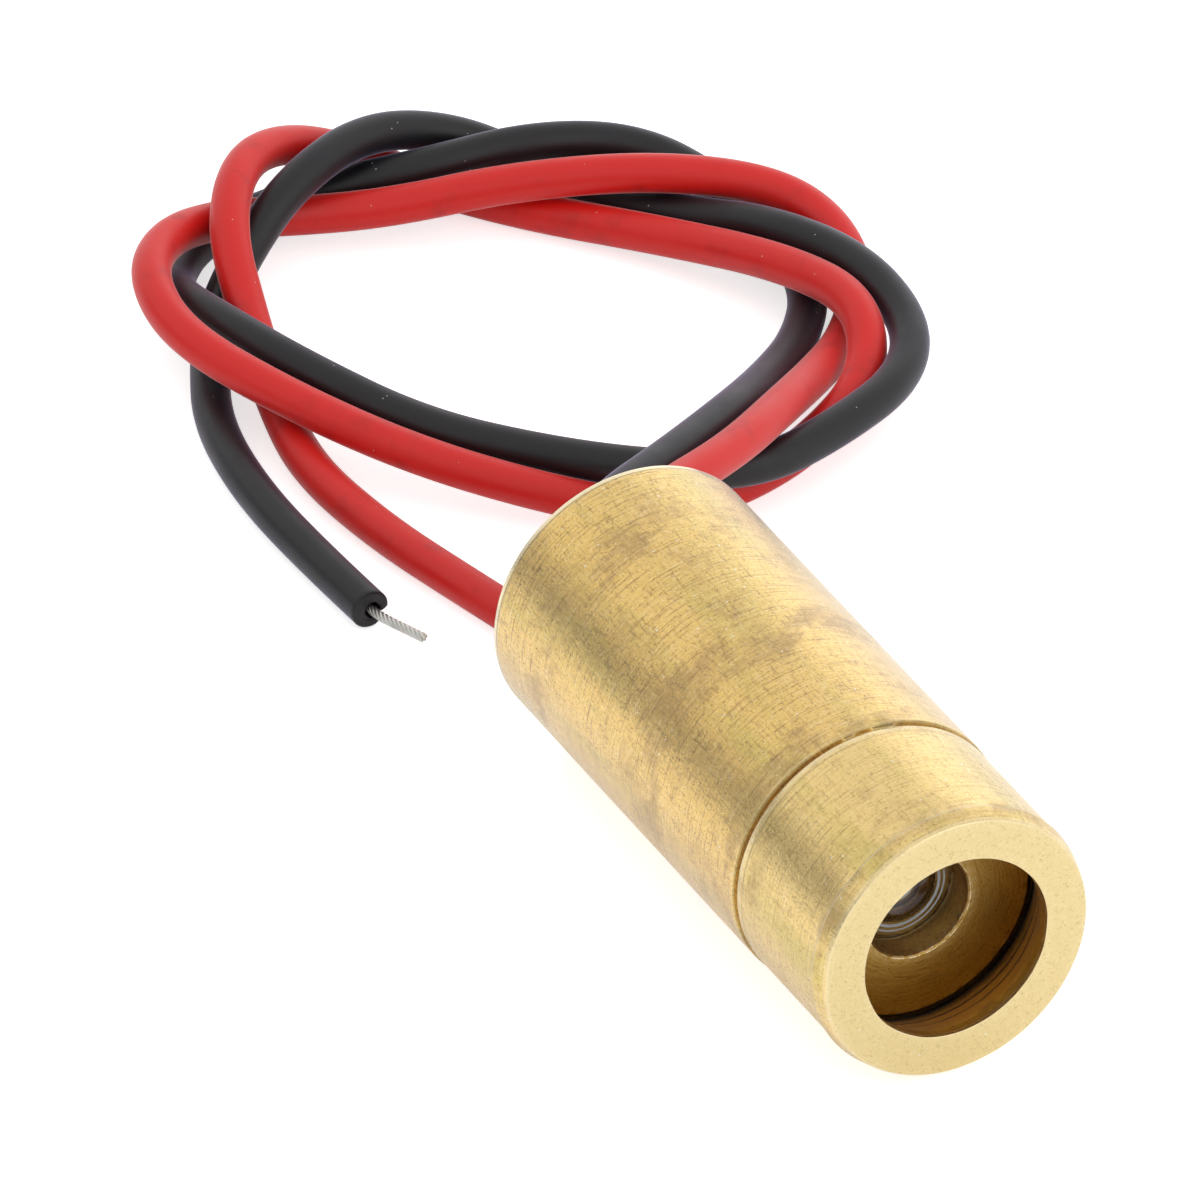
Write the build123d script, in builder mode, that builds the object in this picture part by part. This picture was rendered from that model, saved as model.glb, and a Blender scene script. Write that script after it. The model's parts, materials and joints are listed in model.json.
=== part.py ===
"""Laser diode module: a brass body 9 mm across and 21 mm long, with two loose leads.

Millimetres, +Z up. The body lies on its side, its axis along Y. The beam leaves at the front,
towards -Y, and the leads leave at the rear, towards +Y. The origin is on the surface that
the module lies on, under the middle of the body.
"""
import os
from math import radians, sqrt, tan

from build123d import *

os.makedirs("parts", exist_ok=True)

# Body
body_radius = 4.5
barrel_length = 5.55
seam_chamfer = 0.12
rear_chamfer = 0.15

# Front barrel
corner_rise = 0.17
corner_length = 0.6
waist_step = 0.05
lip_width = 1.3
lip_length = 0.4
barrel_wall = 0.6

# Rear housing
nose_length = 1.25
nose_wall = 0.65
shoulder_depth = 4.25
mouth_wall = 0.75
mouth_chamfer = 0.2

# Fits between turned pieces, on the radius
thread_clearance = 0.05
press_clearance = 0.01
seat_clearance = 0.02
can_clearance = 0.07

# Lens cell, lens and the ring behind it
face_depth = 2.4
cell_edge_step = 0.15
cell_edge_length = 0.3
cell_nose_gap = 0.1
cell_tail_clearance = 0.1
cell_tail_wall = 0.83
cell_tail_length = 1.7
aperture_ledge = 0.57
aperture_length = 1.1
aperture_chamfer = 0.06
lens_edge_length = 0.9
lens_front_rise = 0.4
lens_rear_rise = 0.25
lens_dome_margin = 0.1
ring_width = 0.75
ring_length = 0.7
ring_slot_width = 0.5
ring_slot_depth = 0.35

# Focus spring
spring_wire = 0.28
spring_turns = 4

# Diode holder and the diode's can
holder_wall = 0.77
holder_length = 3.1
holder_web_length = 1.5
base_radius = 2.8
base_length = 1.2
base_notch_width = 0.4
base_notch_depth = 0.4
cap_flange_radius = 2.05
cap_flange_length = 0.2
cap_radius = 1.775
cap_length = 2.3
cap_wall = 0.15
cap_hole_radius = 0.8
window_length = 0.25
window_clearance = 0.075

# What stands on the base inside the can
block_width = 1.6
block_height = 0.8
block_length = 1.4
chip_width = 0.3
chip_length = 0.4
chip_height = 0.1
sensor_side = 0.9
sensor_thickness = 0.2
sensor_gap = 0.05

# Pins of the diode
pin_radius = 0.225
pin_circle_radius = 1.0
pin_length = 2.9
pin_inner_length = 0.4
seal_radius = 0.5

# Driver board and its components
board_clearance = 0.15
board_thickness = 1.0
board_gap = 0.8
board_tail_length = 0.65
transistor_length = 2.0
transistor_height = 0.85
transistor_standoff = 0.1
transistor_leg_width = 0.3
transistor_leg_reach = 0.42
transistor_leg_thickness = 0.15
transistor_leg_pitch = 0.65
transistor_pin_gap = 0.28
transistor_edge_gap = 0.06
transistor_setback = 1.5
resistor_length = 1.6
resistor_width = 0.8
resistor_height = 0.45
capacitor_length = 2.0
capacitor_width = 1.25
capacitor_height = 0.85
capacitor_clearance = 0.42
trimmer_side = 2.6
trimmer_height = 0.9
trimmer_pin_gap = 0.45
trimmer_side_gap = 0.6
rotor_radius = 0.95
rotor_height = 0.35
rotor_slot_width = 0.3
rotor_slot_depth = 0.2
rotor_slot_margin = 0.2
solder_radius = 0.42
solder_length = 1.0
solder_crown = 0.4

# Potting at the rear and the leads
potting_recess = 0.8
potting_depth = 1.7
potting_rim_width = 0.74
potting_rise = 0.25
board_anchor = 0.6
lead_spacing = 1.8
lead_radius = 0.625
root_overlap = 0.2
core_radius = 0.2
core_socket = 0.4
core_drop_length = 0.25
pad_setback = 1.75
core_foot_length = 0.65
lead_lift = 0.025
tip_radius = 0.165

# The body is as long as what it holds, one piece behind the other
diode_length = holder_web_length + base_length + pin_length
board_rest_length = trimmer_pin_gap + trimmer_side + board_tail_length - board_anchor
body_length = barrel_length + shoulder_depth + diode_length + board_rest_length + potting_depth + potting_recess

# Stations along the axis, from the front face to the rear face
axis_z = body_radius
front_y = -body_length / 2
rear_y = body_length / 2
seam_y = front_y + barrel_length
nose_y = seam_y - nose_length
cell_face_y = front_y + face_depth
cell_rear_y = nose_y - cell_nose_gap
cell_tail_y = cell_rear_y + cell_tail_length
lens_seat_y = cell_face_y + aperture_length
lens_rear_y = lens_seat_y + lens_edge_length
ring_rear_y = lens_rear_y + ring_length
shoulder_y = seam_y + shoulder_depth
base_front_y = shoulder_y + holder_web_length
base_rear_y = base_front_y + base_length
holder_rear_y = shoulder_y + holder_length
pin_end_y = base_rear_y + pin_length
potting_face_y = rear_y - potting_recess
potting_front_y = potting_face_y - potting_depth
board_front_y = holder_rear_y + board_gap
board_rear_y = potting_front_y + board_anchor
root_front_y = board_rear_y - root_overlap
pad_y = board_rear_y - pad_setback

# Heights: the board stands midway between the upper pins and the lower pin
upper_pin_x = pin_circle_radius * 3 ** 0.5 / 2
upper_pin_z = axis_z + pin_circle_radius / 2
lower_pin_z = axis_z - pin_circle_radius
board_top_z = (upper_pin_z + lower_pin_z + board_thickness) / 2
board_bottom_z = board_top_z - board_thickness
lead_z = board_top_z + lead_lift + lead_radius
core_foot_z = board_top_z + lead_lift + core_radius
lead_x = lead_spacing / 2

# Radii of the brass pieces, from the outside in
face_radius = body_radius - corner_rise
opening_radius = face_radius - lip_width
barrel_waist_radius = body_radius - waist_step
barrel_bore_radius = body_radius - barrel_wall
thread_radius = barrel_bore_radius - thread_clearance
nose_bore_radius = thread_radius - nose_wall
board_bore_radius = body_radius - mouth_wall
cell_edge_radius = thread_radius - cell_edge_step
cell_tail_radius = nose_bore_radius - cell_tail_clearance
lens_bore_radius = cell_tail_radius - cell_tail_wall
lens_radius = lens_bore_radius - seat_clearance
aperture_radius = lens_bore_radius - aperture_ledge
ring_hole_radius = lens_radius - ring_width

# The holder fits round the diode's base, and the spring stands midway between the can and the nose
cap_bore_radius = cap_flange_radius + can_clearance
base_seat_radius = base_radius + seat_clearance
holder_radius = base_seat_radius + holder_wall
holder_bore_radius = holder_radius + press_clearance
spring_radius = (cap_radius + nose_bore_radius) / 2

# The board fits across the rear bore, and its components fit between the pins and its edges
board_drop = axis_z - board_bottom_z
board_width = 2 * sqrt((board_bore_radius - board_clearance) ** 2 - board_drop ** 2)
transistor_inner_x = upper_pin_x + pin_radius + transistor_pin_gap
transistor_outer_x = board_width / 2 - transistor_edge_gap
transistor_width = transistor_outer_x - transistor_inner_x - 2 * transistor_leg_reach
transistor_offset = (transistor_outer_x + transistor_inner_x) / 2
capacitor_reach = sqrt((board_bore_radius - capacitor_clearance) ** 2 - (board_drop + capacitor_height) ** 2)
capacitor_offset = capacitor_reach - capacitor_width / 2
resistor_offset = (trimmer_side + resistor_width) / 2 + trimmer_side_gap

# Planes: profiles hold the distance along Y and the radius, and faces look towards the front
axis_plane = Plane(origin=(0, 0, axis_z), x_dir=(0, 1, 0), z_dir=(1, 0, 0))
turning_axis = Axis((0, 0, axis_z), (0, 1, 0))


def facing_front(y, z=axis_z):
    """Plane across the axis at y, with its x along +X, its y along +Z and its normal along -Y."""
    return Plane(origin=(0, y, z), x_dir=(1, 0, 0), z_dir=(0, -1, 0))


def board_plane(z, up=True):
    """Plane of the board's top or underside, with its x along +X."""
    return Plane(origin=(0, 0, z), x_dir=(1, 0, 0), z_dir=(0, 0, 1 if up else -1))


def corner_radii(points):
    """Bend radius at each inner point of a lead's route, as large as its two runs allow."""
    radii = []
    for before, corner, after in zip(points, points[1:], points[2:]):
        run_in = Vector(*corner) - Vector(*before)
        run_out = Vector(*after) - Vector(*corner)
        half_turn = radians(run_in.get_angle(run_out) / 2)
        radii.append(0.45 * min(run_in.length, run_out.length) / tan(half_turn))
    return radii


def save(builder, name):
    """Label a finished piece and write it to its own STEP file."""
    builder.part.label = name
    export_step(builder.part, f"parts/{name}.step")


# Front barrel: a turned cap with a lip round the front opening, bored and threaded from behind
with BuildPart() as front_barrel:
    with BuildSketch(axis_plane):
        with BuildLine():
            Polyline(
                (front_y, opening_radius),
                (front_y, face_radius),
                (front_y + corner_length, body_radius),
                (front_y + corner_length, barrel_waist_radius),
                (seam_y - seam_chamfer, barrel_waist_radius),
                (seam_y, barrel_waist_radius - seam_chamfer),
                (seam_y, barrel_bore_radius),
                (cell_face_y, barrel_bore_radius),
                (front_y + lip_length, opening_radius),
                close=True,
            )
        make_face()
    revolve(axis=turning_axis)
save(front_barrel, "front_barrel")

# Rear housing: a turned tube whose threaded nose enters the barrel
with BuildPart() as rear_housing:
    with BuildSketch(axis_plane):
        with BuildLine():
            Polyline(
                (nose_y, nose_bore_radius),
                (nose_y, thread_radius - seam_chamfer),
                (nose_y + seam_chamfer, thread_radius),
                (seam_y, thread_radius),
                (seam_y, body_radius - seam_chamfer),
                (seam_y + seam_chamfer, body_radius),
                (rear_y - rear_chamfer, body_radius),
                (rear_y, body_radius - rear_chamfer),
                (rear_y, board_bore_radius + mouth_chamfer),
                (rear_y - mouth_chamfer, board_bore_radius),
                (holder_rear_y, board_bore_radius),
                (holder_rear_y, holder_bore_radius),
                (shoulder_y, holder_bore_radius),
                (shoulder_y, nose_bore_radius),
                close=True,
            )
        make_face()
    revolve(axis=turning_axis)
save(rear_housing, "rear_housing")

# Lens cell: its flat face shows in the front opening, and its thread holds it in the barrel
with BuildPart() as lens_cell:
    with BuildSketch(axis_plane):
        with BuildLine():
            Polyline(
                (cell_face_y, aperture_radius + aperture_chamfer),
                (cell_face_y, cell_edge_radius),
                (cell_face_y + cell_edge_length, cell_edge_radius),
                (cell_face_y + cell_edge_length, thread_radius),
                (cell_rear_y, thread_radius),
                (cell_rear_y, cell_tail_radius),
                (cell_tail_y, cell_tail_radius),
                (cell_tail_y, lens_bore_radius),
                (lens_seat_y, lens_bore_radius),
                (lens_seat_y, aperture_radius),
                (cell_face_y + aperture_chamfer, aperture_radius),
                close=True,
            )
        make_face()
    revolve(axis=turning_axis)
save(lens_cell, "lens_cell")

# Collimating lens: a thick edge seated in the cell, with a domed face on each side
front_dome_radius = aperture_radius - lens_dome_margin
rear_dome_radius = ring_hole_radius - lens_dome_margin
with BuildPart() as collimating_lens:
    with BuildSketch(axis_plane):
        with BuildLine():
            edge = Polyline(
                (lens_seat_y, front_dome_radius),
                (lens_seat_y, lens_radius),
                (lens_rear_y, lens_radius),
                (lens_rear_y, rear_dome_radius),
            )
            front_vertex = (lens_seat_y - lens_front_rise, 0)
            rear_vertex = (lens_rear_y + lens_rear_rise, 0)
            TangentArc(front_vertex, edge @ 0, tangent=(0, 1))
            TangentArc(rear_vertex, edge @ 1, tangent=(0, 1))
            Line(front_vertex, rear_vertex)
        make_face()
    revolve(axis=turning_axis)
save(collimating_lens, "collimating_lens")

# Retaining ring: threaded behind the lens, with two slots for a spanner
with BuildPart() as lens_retaining_ring:
    with BuildSketch(facing_front(ring_rear_y)):
        Circle(lens_radius)
        Circle(ring_hole_radius, mode=Mode.SUBTRACT)
    extrude(amount=ring_length)
    with BuildSketch(facing_front(ring_rear_y)):
        Rectangle(2 * lens_bore_radius, ring_slot_width)
    extrude(amount=ring_slot_depth, mode=Mode.SUBTRACT)
save(lens_retaining_ring, "lens_retaining_ring")

# Focus spring: square wire that pushes the cell and the holder apart, so the focus thread has no play
spring_height = shoulder_y - cell_tail_y - spring_wire
with BuildPart() as focus_spring:
    with BuildLine() as coil:
        Helix(
            pitch=spring_height / spring_turns,
            height=spring_height,
            radius=spring_radius,
            center=(0, cell_tail_y + spring_wire / 2, axis_z),
            direction=(0, 1, 0),
        )
    with BuildSketch(Plane(origin=coil.line @ 0, x_dir=(0, 1, 0), z_dir=coil.line % 0)):
        Rectangle(spring_wire, spring_wire)
    sweep(is_frenet=True)
save(focus_spring, "focus_spring")

# Diode holder: pressed against the housing's shoulder, with a seat for the diode's base
with BuildPart() as diode_holder:
    with BuildSketch(axis_plane):
        with BuildLine():
            Polyline(
                (shoulder_y, cap_bore_radius),
                (shoulder_y, holder_radius),
                (holder_rear_y, holder_radius),
                (holder_rear_y, base_seat_radius),
                (base_front_y, base_seat_radius),
                (base_front_y, cap_bore_radius),
                close=True,
            )
        make_face()
    revolve(axis=turning_axis)
save(diode_holder, "diode_holder")

# Diode base: a steel disc with two round holes for the sealed pins and notches in its rim
with BuildPart() as diode_base:
    with BuildSketch(facing_front(base_rear_y)):
        Circle(base_radius)
        with Locations((-upper_pin_x, upper_pin_z - axis_z), (upper_pin_x, upper_pin_z - axis_z)):
            Circle(seal_radius, mode=Mode.SUBTRACT)
        with PolarLocations(base_radius, 2):
            RegularPolygon(base_notch_depth, 4, mode=Mode.SUBTRACT)
        with Locations((0, -base_radius)):
            Rectangle(base_notch_width, 2 * base_notch_depth, mode=Mode.SUBTRACT)
    extrude(amount=base_length)
save(diode_base, "diode_base")

# Diode cap: a thin drawn can with a welded flange and a hole for the beam
cap_front_y = base_front_y - cap_length
with BuildPart() as diode_cap:
    with BuildSketch(axis_plane):
        with BuildLine():
            Polyline(
                (base_front_y, cap_radius - cap_wall),
                (base_front_y, cap_flange_radius),
                (base_front_y - cap_flange_length, cap_flange_radius),
                (base_front_y - cap_flange_length, cap_radius),
                (cap_front_y, cap_radius),
                (cap_front_y, cap_hole_radius),
                (cap_front_y + cap_wall, cap_hole_radius),
                (cap_front_y + cap_wall, cap_radius - cap_wall),
                close=True,
            )
        make_face()
    revolve(axis=turning_axis)
save(diode_cap, "diode_cap")

# Window: a glass disc behind the hole of the cap
window_front_y = cap_front_y + cap_wall
with BuildPart() as diode_window:
    with BuildSketch(facing_front(window_front_y + window_length)):
        Circle(cap_radius - cap_wall - window_clearance)
    extrude(amount=window_length)
save(diode_window, "diode_window")

# Mount block: a copper post that carries the chip on the axis
block_top_z = axis_z - chip_height
with BuildPart() as diode_mount_block:
    with BuildSketch(facing_front(base_front_y, block_top_z - block_height / 2)):
        Rectangle(block_width, block_height)
    extrude(amount=block_length)
save(diode_mount_block, "diode_mount_block")

# Laser chip: soldered on the block, its emitting edge flush with the block's front
block_front_y = base_front_y - block_length
with BuildPart() as laser_chip:
    with BuildSketch(board_plane(block_top_z)):
        with Locations((0, block_front_y + chip_length / 2)):
            Rectangle(chip_width, chip_length)
    extrude(amount=chip_height)
save(laser_chip, "laser_chip")

# Monitor photodiode: a square die on the base, above the block
sensor_z = block_top_z + sensor_gap + sensor_side / 2
with BuildPart() as monitor_photodiode:
    with BuildSketch(facing_front(base_front_y, sensor_z)):
        Rectangle(sensor_side, sensor_side)
    extrude(amount=sensor_thickness)
save(monitor_photodiode, "monitor_photodiode")

# Pins: two pass through the base in glass, and the third is welded to its back
with BuildPart() as diode_pins:
    with BuildSketch(facing_front(pin_end_y)):
        with Locations((-upper_pin_x, upper_pin_z - axis_z), (upper_pin_x, upper_pin_z - axis_z)):
            Circle(pin_radius)
    extrude(amount=pin_length + base_length + pin_inner_length)
    with BuildSketch(facing_front(pin_end_y)):
        with Locations((0, lower_pin_z - axis_z)):
            Circle(pin_radius)
    extrude(amount=pin_length)
save(diode_pins, "diode_pins")

# Pin seals: glass rings in the base round the two insulated pins
with BuildPart() as pin_seals:
    with BuildSketch(facing_front(base_rear_y)):
        with Locations((-upper_pin_x, upper_pin_z - axis_z), (upper_pin_x, upper_pin_z - axis_z)):
            Circle(seal_radius)
            Circle(pin_radius, mode=Mode.SUBTRACT)
    extrude(amount=base_length)
save(pin_seals, "pin_seals")

# Driver board: stands between the upper pins and the lower pin, its rear end in the potting
board_middle_y = (board_front_y + board_rear_y) / 2
with BuildPart() as driver_board:
    with BuildSketch(board_plane(board_bottom_z)):
        with Locations((0, board_middle_y)):
            Rectangle(board_width, board_rear_y - board_front_y)
    extrude(amount=board_thickness)
save(driver_board, "driver_board")

# Transistors: two moulded bodies on the board's top, each with three bent legs
transistor_y = board_front_y + transistor_setback
transistor_base = board_plane(board_top_z + transistor_standoff)
leg_x = (transistor_width + transistor_leg_reach) / 2
with BuildPart() as driver_transistors:
    with BuildSketch(transistor_base):
        with Locations((-transistor_offset, transistor_y), (transistor_offset, transistor_y)):
            Rectangle(transistor_width, transistor_length)
    extrude(amount=transistor_height)
    with BuildSketch(board_plane(board_top_z)):
        for side in (-1, 1):
            with Locations((side * transistor_offset, transistor_y)):
                with Locations(
                    (-side * leg_x, 0),
                    (side * leg_x, -transistor_leg_pitch),
                    (side * leg_x, transistor_leg_pitch),
                ):
                    Rectangle(transistor_leg_reach, transistor_leg_width)
    extrude(amount=transistor_standoff + transistor_leg_thickness)
save(driver_transistors, "driver_transistors")

# Resistors: one on the board's top between the pins and the leads, three on its underside
front_row = board_front_y + resistor_length / 2 + transistor_leg_pitch / 2
rear_row = board_rear_y - pad_setback
with BuildPart() as driver_resistors:
    with BuildSketch(board_plane(board_top_z)):
        with Locations((0, (pin_end_y + pad_y - solder_length / 2) / 2)):
            Rectangle(resistor_length, resistor_width)
    extrude(amount=resistor_height)
    with BuildSketch(board_plane(board_bottom_z, up=False)):
        with Locations(
            (resistor_offset, -front_row), (resistor_offset, -rear_row), (-resistor_offset, -rear_row)
        ):
            Rectangle(resistor_width, resistor_length)
    extrude(amount=resistor_height)
save(driver_resistors, "driver_resistors")

# Filter capacitor: a ceramic block on the underside, near the diode
with BuildPart() as filter_capacitor:
    with BuildSketch(board_plane(board_bottom_z, up=False)):
        with Locations((-capacitor_offset, -front_row)):
            Rectangle(capacitor_width, capacitor_length)
    extrude(amount=capacitor_height)
save(filter_capacitor, "filter_capacitor")

# Power trimmer: a square body with a slotted rotor, on the underside
trimmer_y = pin_end_y + trimmer_pin_gap + trimmer_side / 2
with BuildPart() as power_trimmer:
    with BuildSketch(board_plane(board_bottom_z, up=False)):
        with Locations((0, -trimmer_y)):
            Rectangle(trimmer_side, trimmer_side)
    extrude(amount=trimmer_height)
    with BuildSketch(board_plane(board_bottom_z - trimmer_height, up=False)):
        with Locations((0, -trimmer_y)):
            Circle(rotor_radius)
    extrude(amount=rotor_height)
    slot_floor_z = board_bottom_z - trimmer_height - rotor_height + rotor_slot_depth
    with BuildSketch(board_plane(slot_floor_z, up=False)):
        with Locations((0, -trimmer_y)):
            with PolarLocations(0, 2, angular_range=180):
                Rectangle(2 * (rotor_radius - rotor_slot_margin), rotor_slot_width)
    extrude(amount=rotor_slot_depth, mode=Mode.SUBTRACT)
save(power_trimmer, "power_trimmer")

# Cores of the leads: bared strands that come down from the insulation to the board's pads
core_bend_y = potting_front_y - core_radius
with BuildPart() as lead_cores:
    for core_x in (-lead_x, lead_x):
        with BuildLine() as core_path:
            Polyline(
                (core_x, root_front_y + core_socket, lead_z),
                (core_x, core_bend_y, lead_z),
                (core_x, core_bend_y - core_drop_length, core_foot_z),
                (core_x, pad_y - core_foot_length, core_foot_z),
            )
        with BuildSketch(Plane(origin=core_path.line @ 0, z_dir=core_path.line % 0)):
            Circle(core_radius)
        sweep(transition=Transition.RIGHT)
save(lead_cores, "lead_cores")


def make_root(side, name):
    """Stub of a lead's insulation that the potting holds, with its core in a socket."""
    with BuildPart() as root:
        with BuildSketch(facing_front(potting_face_y, lead_z)):
            with Locations((side * lead_x, 0)):
                Circle(lead_radius)
        extrude(amount=potting_face_y - root_front_y)
        with BuildSketch(facing_front(root_front_y + core_socket, lead_z)):
            with Locations((side * lead_x, 0)):
                Circle(core_radius)
        extrude(amount=core_socket, mode=Mode.SUBTRACT)
    save(root, name)
    return root


red_wire_root = make_root(1, "red_wire_root")
black_wire_root = make_root(-1, "black_wire_root")

# Solder joints: fillets on the three pins and the two cores, cut flat where they meet the board
joint_y = (board_front_y + pin_end_y) / 2
joint_places = (
    (-upper_pin_x, joint_y, upper_pin_z, pin_radius),
    (upper_pin_x, joint_y, upper_pin_z, pin_radius),
    (0, joint_y, lower_pin_z, pin_radius),
    (-lead_x, pad_y, core_foot_z, core_radius),
    (lead_x, pad_y, core_foot_z, core_radius),
)
with BuildPart() as solder_joints:
    for *place, hole_radius in joint_places:
        with BuildSketch(Plane(origin=place, x_dir=(0, 1, 0), z_dir=(1, 0, 0))):
            with BuildLine():
                Polyline(
                    (-solder_length / 2, hole_radius),
                    (-solder_crown / 2, solder_radius),
                    (solder_crown / 2, solder_radius),
                    (solder_length / 2, hole_radius),
                    close=True,
                )
            make_face()
        revolve(axis=Axis(place, (0, 1, 0)))
    add(driver_board.part, mode=Mode.SUBTRACT)
save(solder_joints, "solder_joints")

# Potting: fills the rear mouth round the leads, with a raised rim where it wets the wall
potting_radius = board_bore_radius - press_clearance
with BuildPart() as rear_potting:
    with BuildSketch(axis_plane):
        with BuildLine():
            body_line = Polyline(
                (potting_face_y, potting_radius - potting_rim_width),
                (potting_face_y, 0),
                (potting_front_y, 0),
                (potting_front_y, potting_radius),
                (potting_face_y + potting_rise, potting_radius),
            )
            TangentArc(body_line @ 0, body_line @ 1, tangent=(0, 1))
        make_face()
    revolve(axis=turning_axis)
    add(driver_board.part, mode=Mode.SUBTRACT)
    add(red_wire_root.part, mode=Mode.SUBTRACT)
    add(black_wire_root.part, mode=Mode.SUBTRACT)
    add(lead_cores.part, mode=Mode.SUBTRACT)
save(rear_potting, "rear_potting")

# Routes of the two leads, from the potting to the cut ends: red lies mostly over black on the right
red_route = [
    (lead_x, potting_face_y, lead_z), (lead_x, 12.0, 5.4), (2.9, 14.2, 4.9), (6.8, 16.6, 3.95),
    (10.2, 19.6, 2.9), (12.9, 22.6, 1.4), (15.1, 24.8, 0.65), (16.8, 26.9, 0.7),
    (17.4, 29.5, 1.5), (16.4, 31.8, 2.1), (13.3, 33.9, 2.35), (9.3, 35.7, 2.1),
    (5.6, 37.1, 1.4), (2.9, 38.3, 1.2), (0.5, 38.4, 1.8), (-2.0, 37.4, 2.5),
    (-3.9, 35.1, 2.9), (-4.3, 31.9, 2.6), (-2.6, 28.0, 2.1), (-0.3, 24.2, 1.6),
    (2.5, 21.0, 1.2), (5.3, 19.2, 0.65), (8.3, 19.1, 0.65), (11.4, 20.1, 0.75),
    (14.3, 21.6, 1.5), (15.5, 24.4, 2.3), (14.7, 28.0, 1.9), (12.6, 32.2, 1.1),
    (9.9, 35.9, 0.65), (7.7, 38.9, 0.65), (5.8, 40.3, 1.6), (3.4, 40.3, 2.7),
    (1.1, 38.7, 3.4), (-0.6, 36.1, 2.9), (-1.2, 33.3, 1.5), (-2.0, 30.0, 0.65),
    (-2.8, 26.2, 0.65), (-2.4, 22.1, 0.65), (-1.5, 18.3, 0.65), (-0.5, 14.4, 0.65),
]
black_route = [
    (-lead_x, potting_face_y, lead_z), (-lead_x, 11.9, 5.4), (1.4, 14.75, 4.8), (5.2, 17.4, 3.85),
    (8.8, 20.2, 2.85), (11.4, 22.95, 1.5), (13.8, 25.3, 0.8), (15.6, 27.9, 0.65),
    (16.1, 31.1, 0.65), (15.7, 34.0, 0.9), (14.0, 36.3, 1.8), (10.8, 37.3, 2.3),
    (7.1, 38.0, 1.9), (4.3, 39.3, 1.2), (2.0, 39.8, 0.65), (-0.2, 39.1, 0.65),
    (-1.8, 37.4, 0.8), (-2.7, 35.2, 1.7), (-2.6, 32.5, 2.3), (-1.5, 29.1, 2.2),
    (0.7, 25.3, 1.6), (3.5, 22.0, 1.6), (5.9, 19.1, 2.07), (8.7, 18.1, 1.9),
    (11.8, 19.0, 1.9), (14.9, 20.5, 1.9), (16.6, 23.1, 1.9), (16.6, 26.6, 2.2),
    (15.3, 29.9, 2.0), (13.9, 32.8, 1.1), (12.3, 35.5, 0.65), (11.1, 37.8, 0.9),
    (9.0, 39.5, 1.9), (5.9, 39.4, 2.9), (2.6, 37.8, 2.9), (0.3, 36.6, 1.7),
    (-1.6, 35.0, 0.65), (-2.9, 32.7, 0.65), (-4.2, 29.9, 0.65), (-4.8, 26.6, 0.65),
    (-4.9, 22.8, 0.65), (-4.6, 18.4, 0.65),
]
red_tip_end = (-0.2, 12.25, 0.55)
black_tip_end = (-3.86, 16.25, 0.65)


def make_lead(route, tip_end, name):
    """One lead as a tube along its route, and its bared end as a thin bent conductor."""
    radii = corner_radii(route)
    with BuildPart() as lead:
        with BuildLine() as path:
            FilletPolyline(*route, radius=radii)
        with BuildSketch(Plane(origin=path.line @ 0, z_dir=path.line % 0)) as section:
            Circle(lead_radius)
        sweep()
    save(lead, name)
    with BuildPart() as tip:
        with BuildLine() as strand:
            TangentArc(path.line @ 1, tip_end, tangent=path.line % 1)
        with BuildSketch(Plane(origin=strand.line @ 0, z_dir=strand.line % 0)):
            Circle(tip_radius)
        sweep()
    save(tip, f"{name}_tip")
    length = path.wire().length
    filled = lead.part.volume / (section.sketch.area * length)
    print(f"{name}: length {length:.1f} mm, volume over section times length {filled:.4f}")
    print(f"{name}: bend radii " + " ".join(f"{radius:.1f}" for radius in radii))


make_lead(red_route, red_tip_end, "red_wire")
make_lead(black_route, black_tip_end, "black_wire")
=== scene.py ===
"""Looks of a laser diode module: a tarnished turned brass body and two soft leads.

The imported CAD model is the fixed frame. The three brass pieces and the lens get finely turned
meshes of the same form, the leads become smooth tubes on their real routes, and every other
piece keeps its CAD form and gets its own finish.
"""

import json
import logging
import math
from dataclasses import dataclass
from enum import Enum

import bmesh
import bpy
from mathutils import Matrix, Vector, noise

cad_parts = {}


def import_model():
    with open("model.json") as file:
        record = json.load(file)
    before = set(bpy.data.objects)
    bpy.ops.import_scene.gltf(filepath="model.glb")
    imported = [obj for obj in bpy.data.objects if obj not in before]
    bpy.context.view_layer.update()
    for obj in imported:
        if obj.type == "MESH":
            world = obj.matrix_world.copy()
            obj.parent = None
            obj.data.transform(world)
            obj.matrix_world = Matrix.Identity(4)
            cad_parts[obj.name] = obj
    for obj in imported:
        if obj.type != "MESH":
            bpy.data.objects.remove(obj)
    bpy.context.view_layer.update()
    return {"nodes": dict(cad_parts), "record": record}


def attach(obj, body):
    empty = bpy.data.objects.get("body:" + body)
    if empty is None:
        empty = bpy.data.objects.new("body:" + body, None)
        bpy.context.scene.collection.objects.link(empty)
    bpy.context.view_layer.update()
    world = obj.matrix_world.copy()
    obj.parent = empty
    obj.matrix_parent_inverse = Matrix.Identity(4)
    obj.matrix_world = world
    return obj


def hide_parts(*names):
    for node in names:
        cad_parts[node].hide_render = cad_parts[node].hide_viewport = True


LOG = logging.getLogger("scene")
MM = 0.001
BODY = "root"

Colour = tuple[float, float, float, float]
Point = tuple[float, float, float]
Profile = list[tuple[float, float, float]]
Value = object
Node = bpy.types.Node
Socket = bpy.types.NodeSocket
Outputs = bpy.types.NodeOutputs
Material = bpy.types.Material
Object = bpy.types.Object
Form = bmesh.types.BMesh
Loop = list[bmesh.types.BMVert]

SOCKET_KINDS = {float: "Float", int: "Int", tuple: "Vector", type(None): "Geometry"}
ORIGIN, EQUAL = (0.0, 0.0, 0.0), (1.0, 1.0, 1.0)


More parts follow.
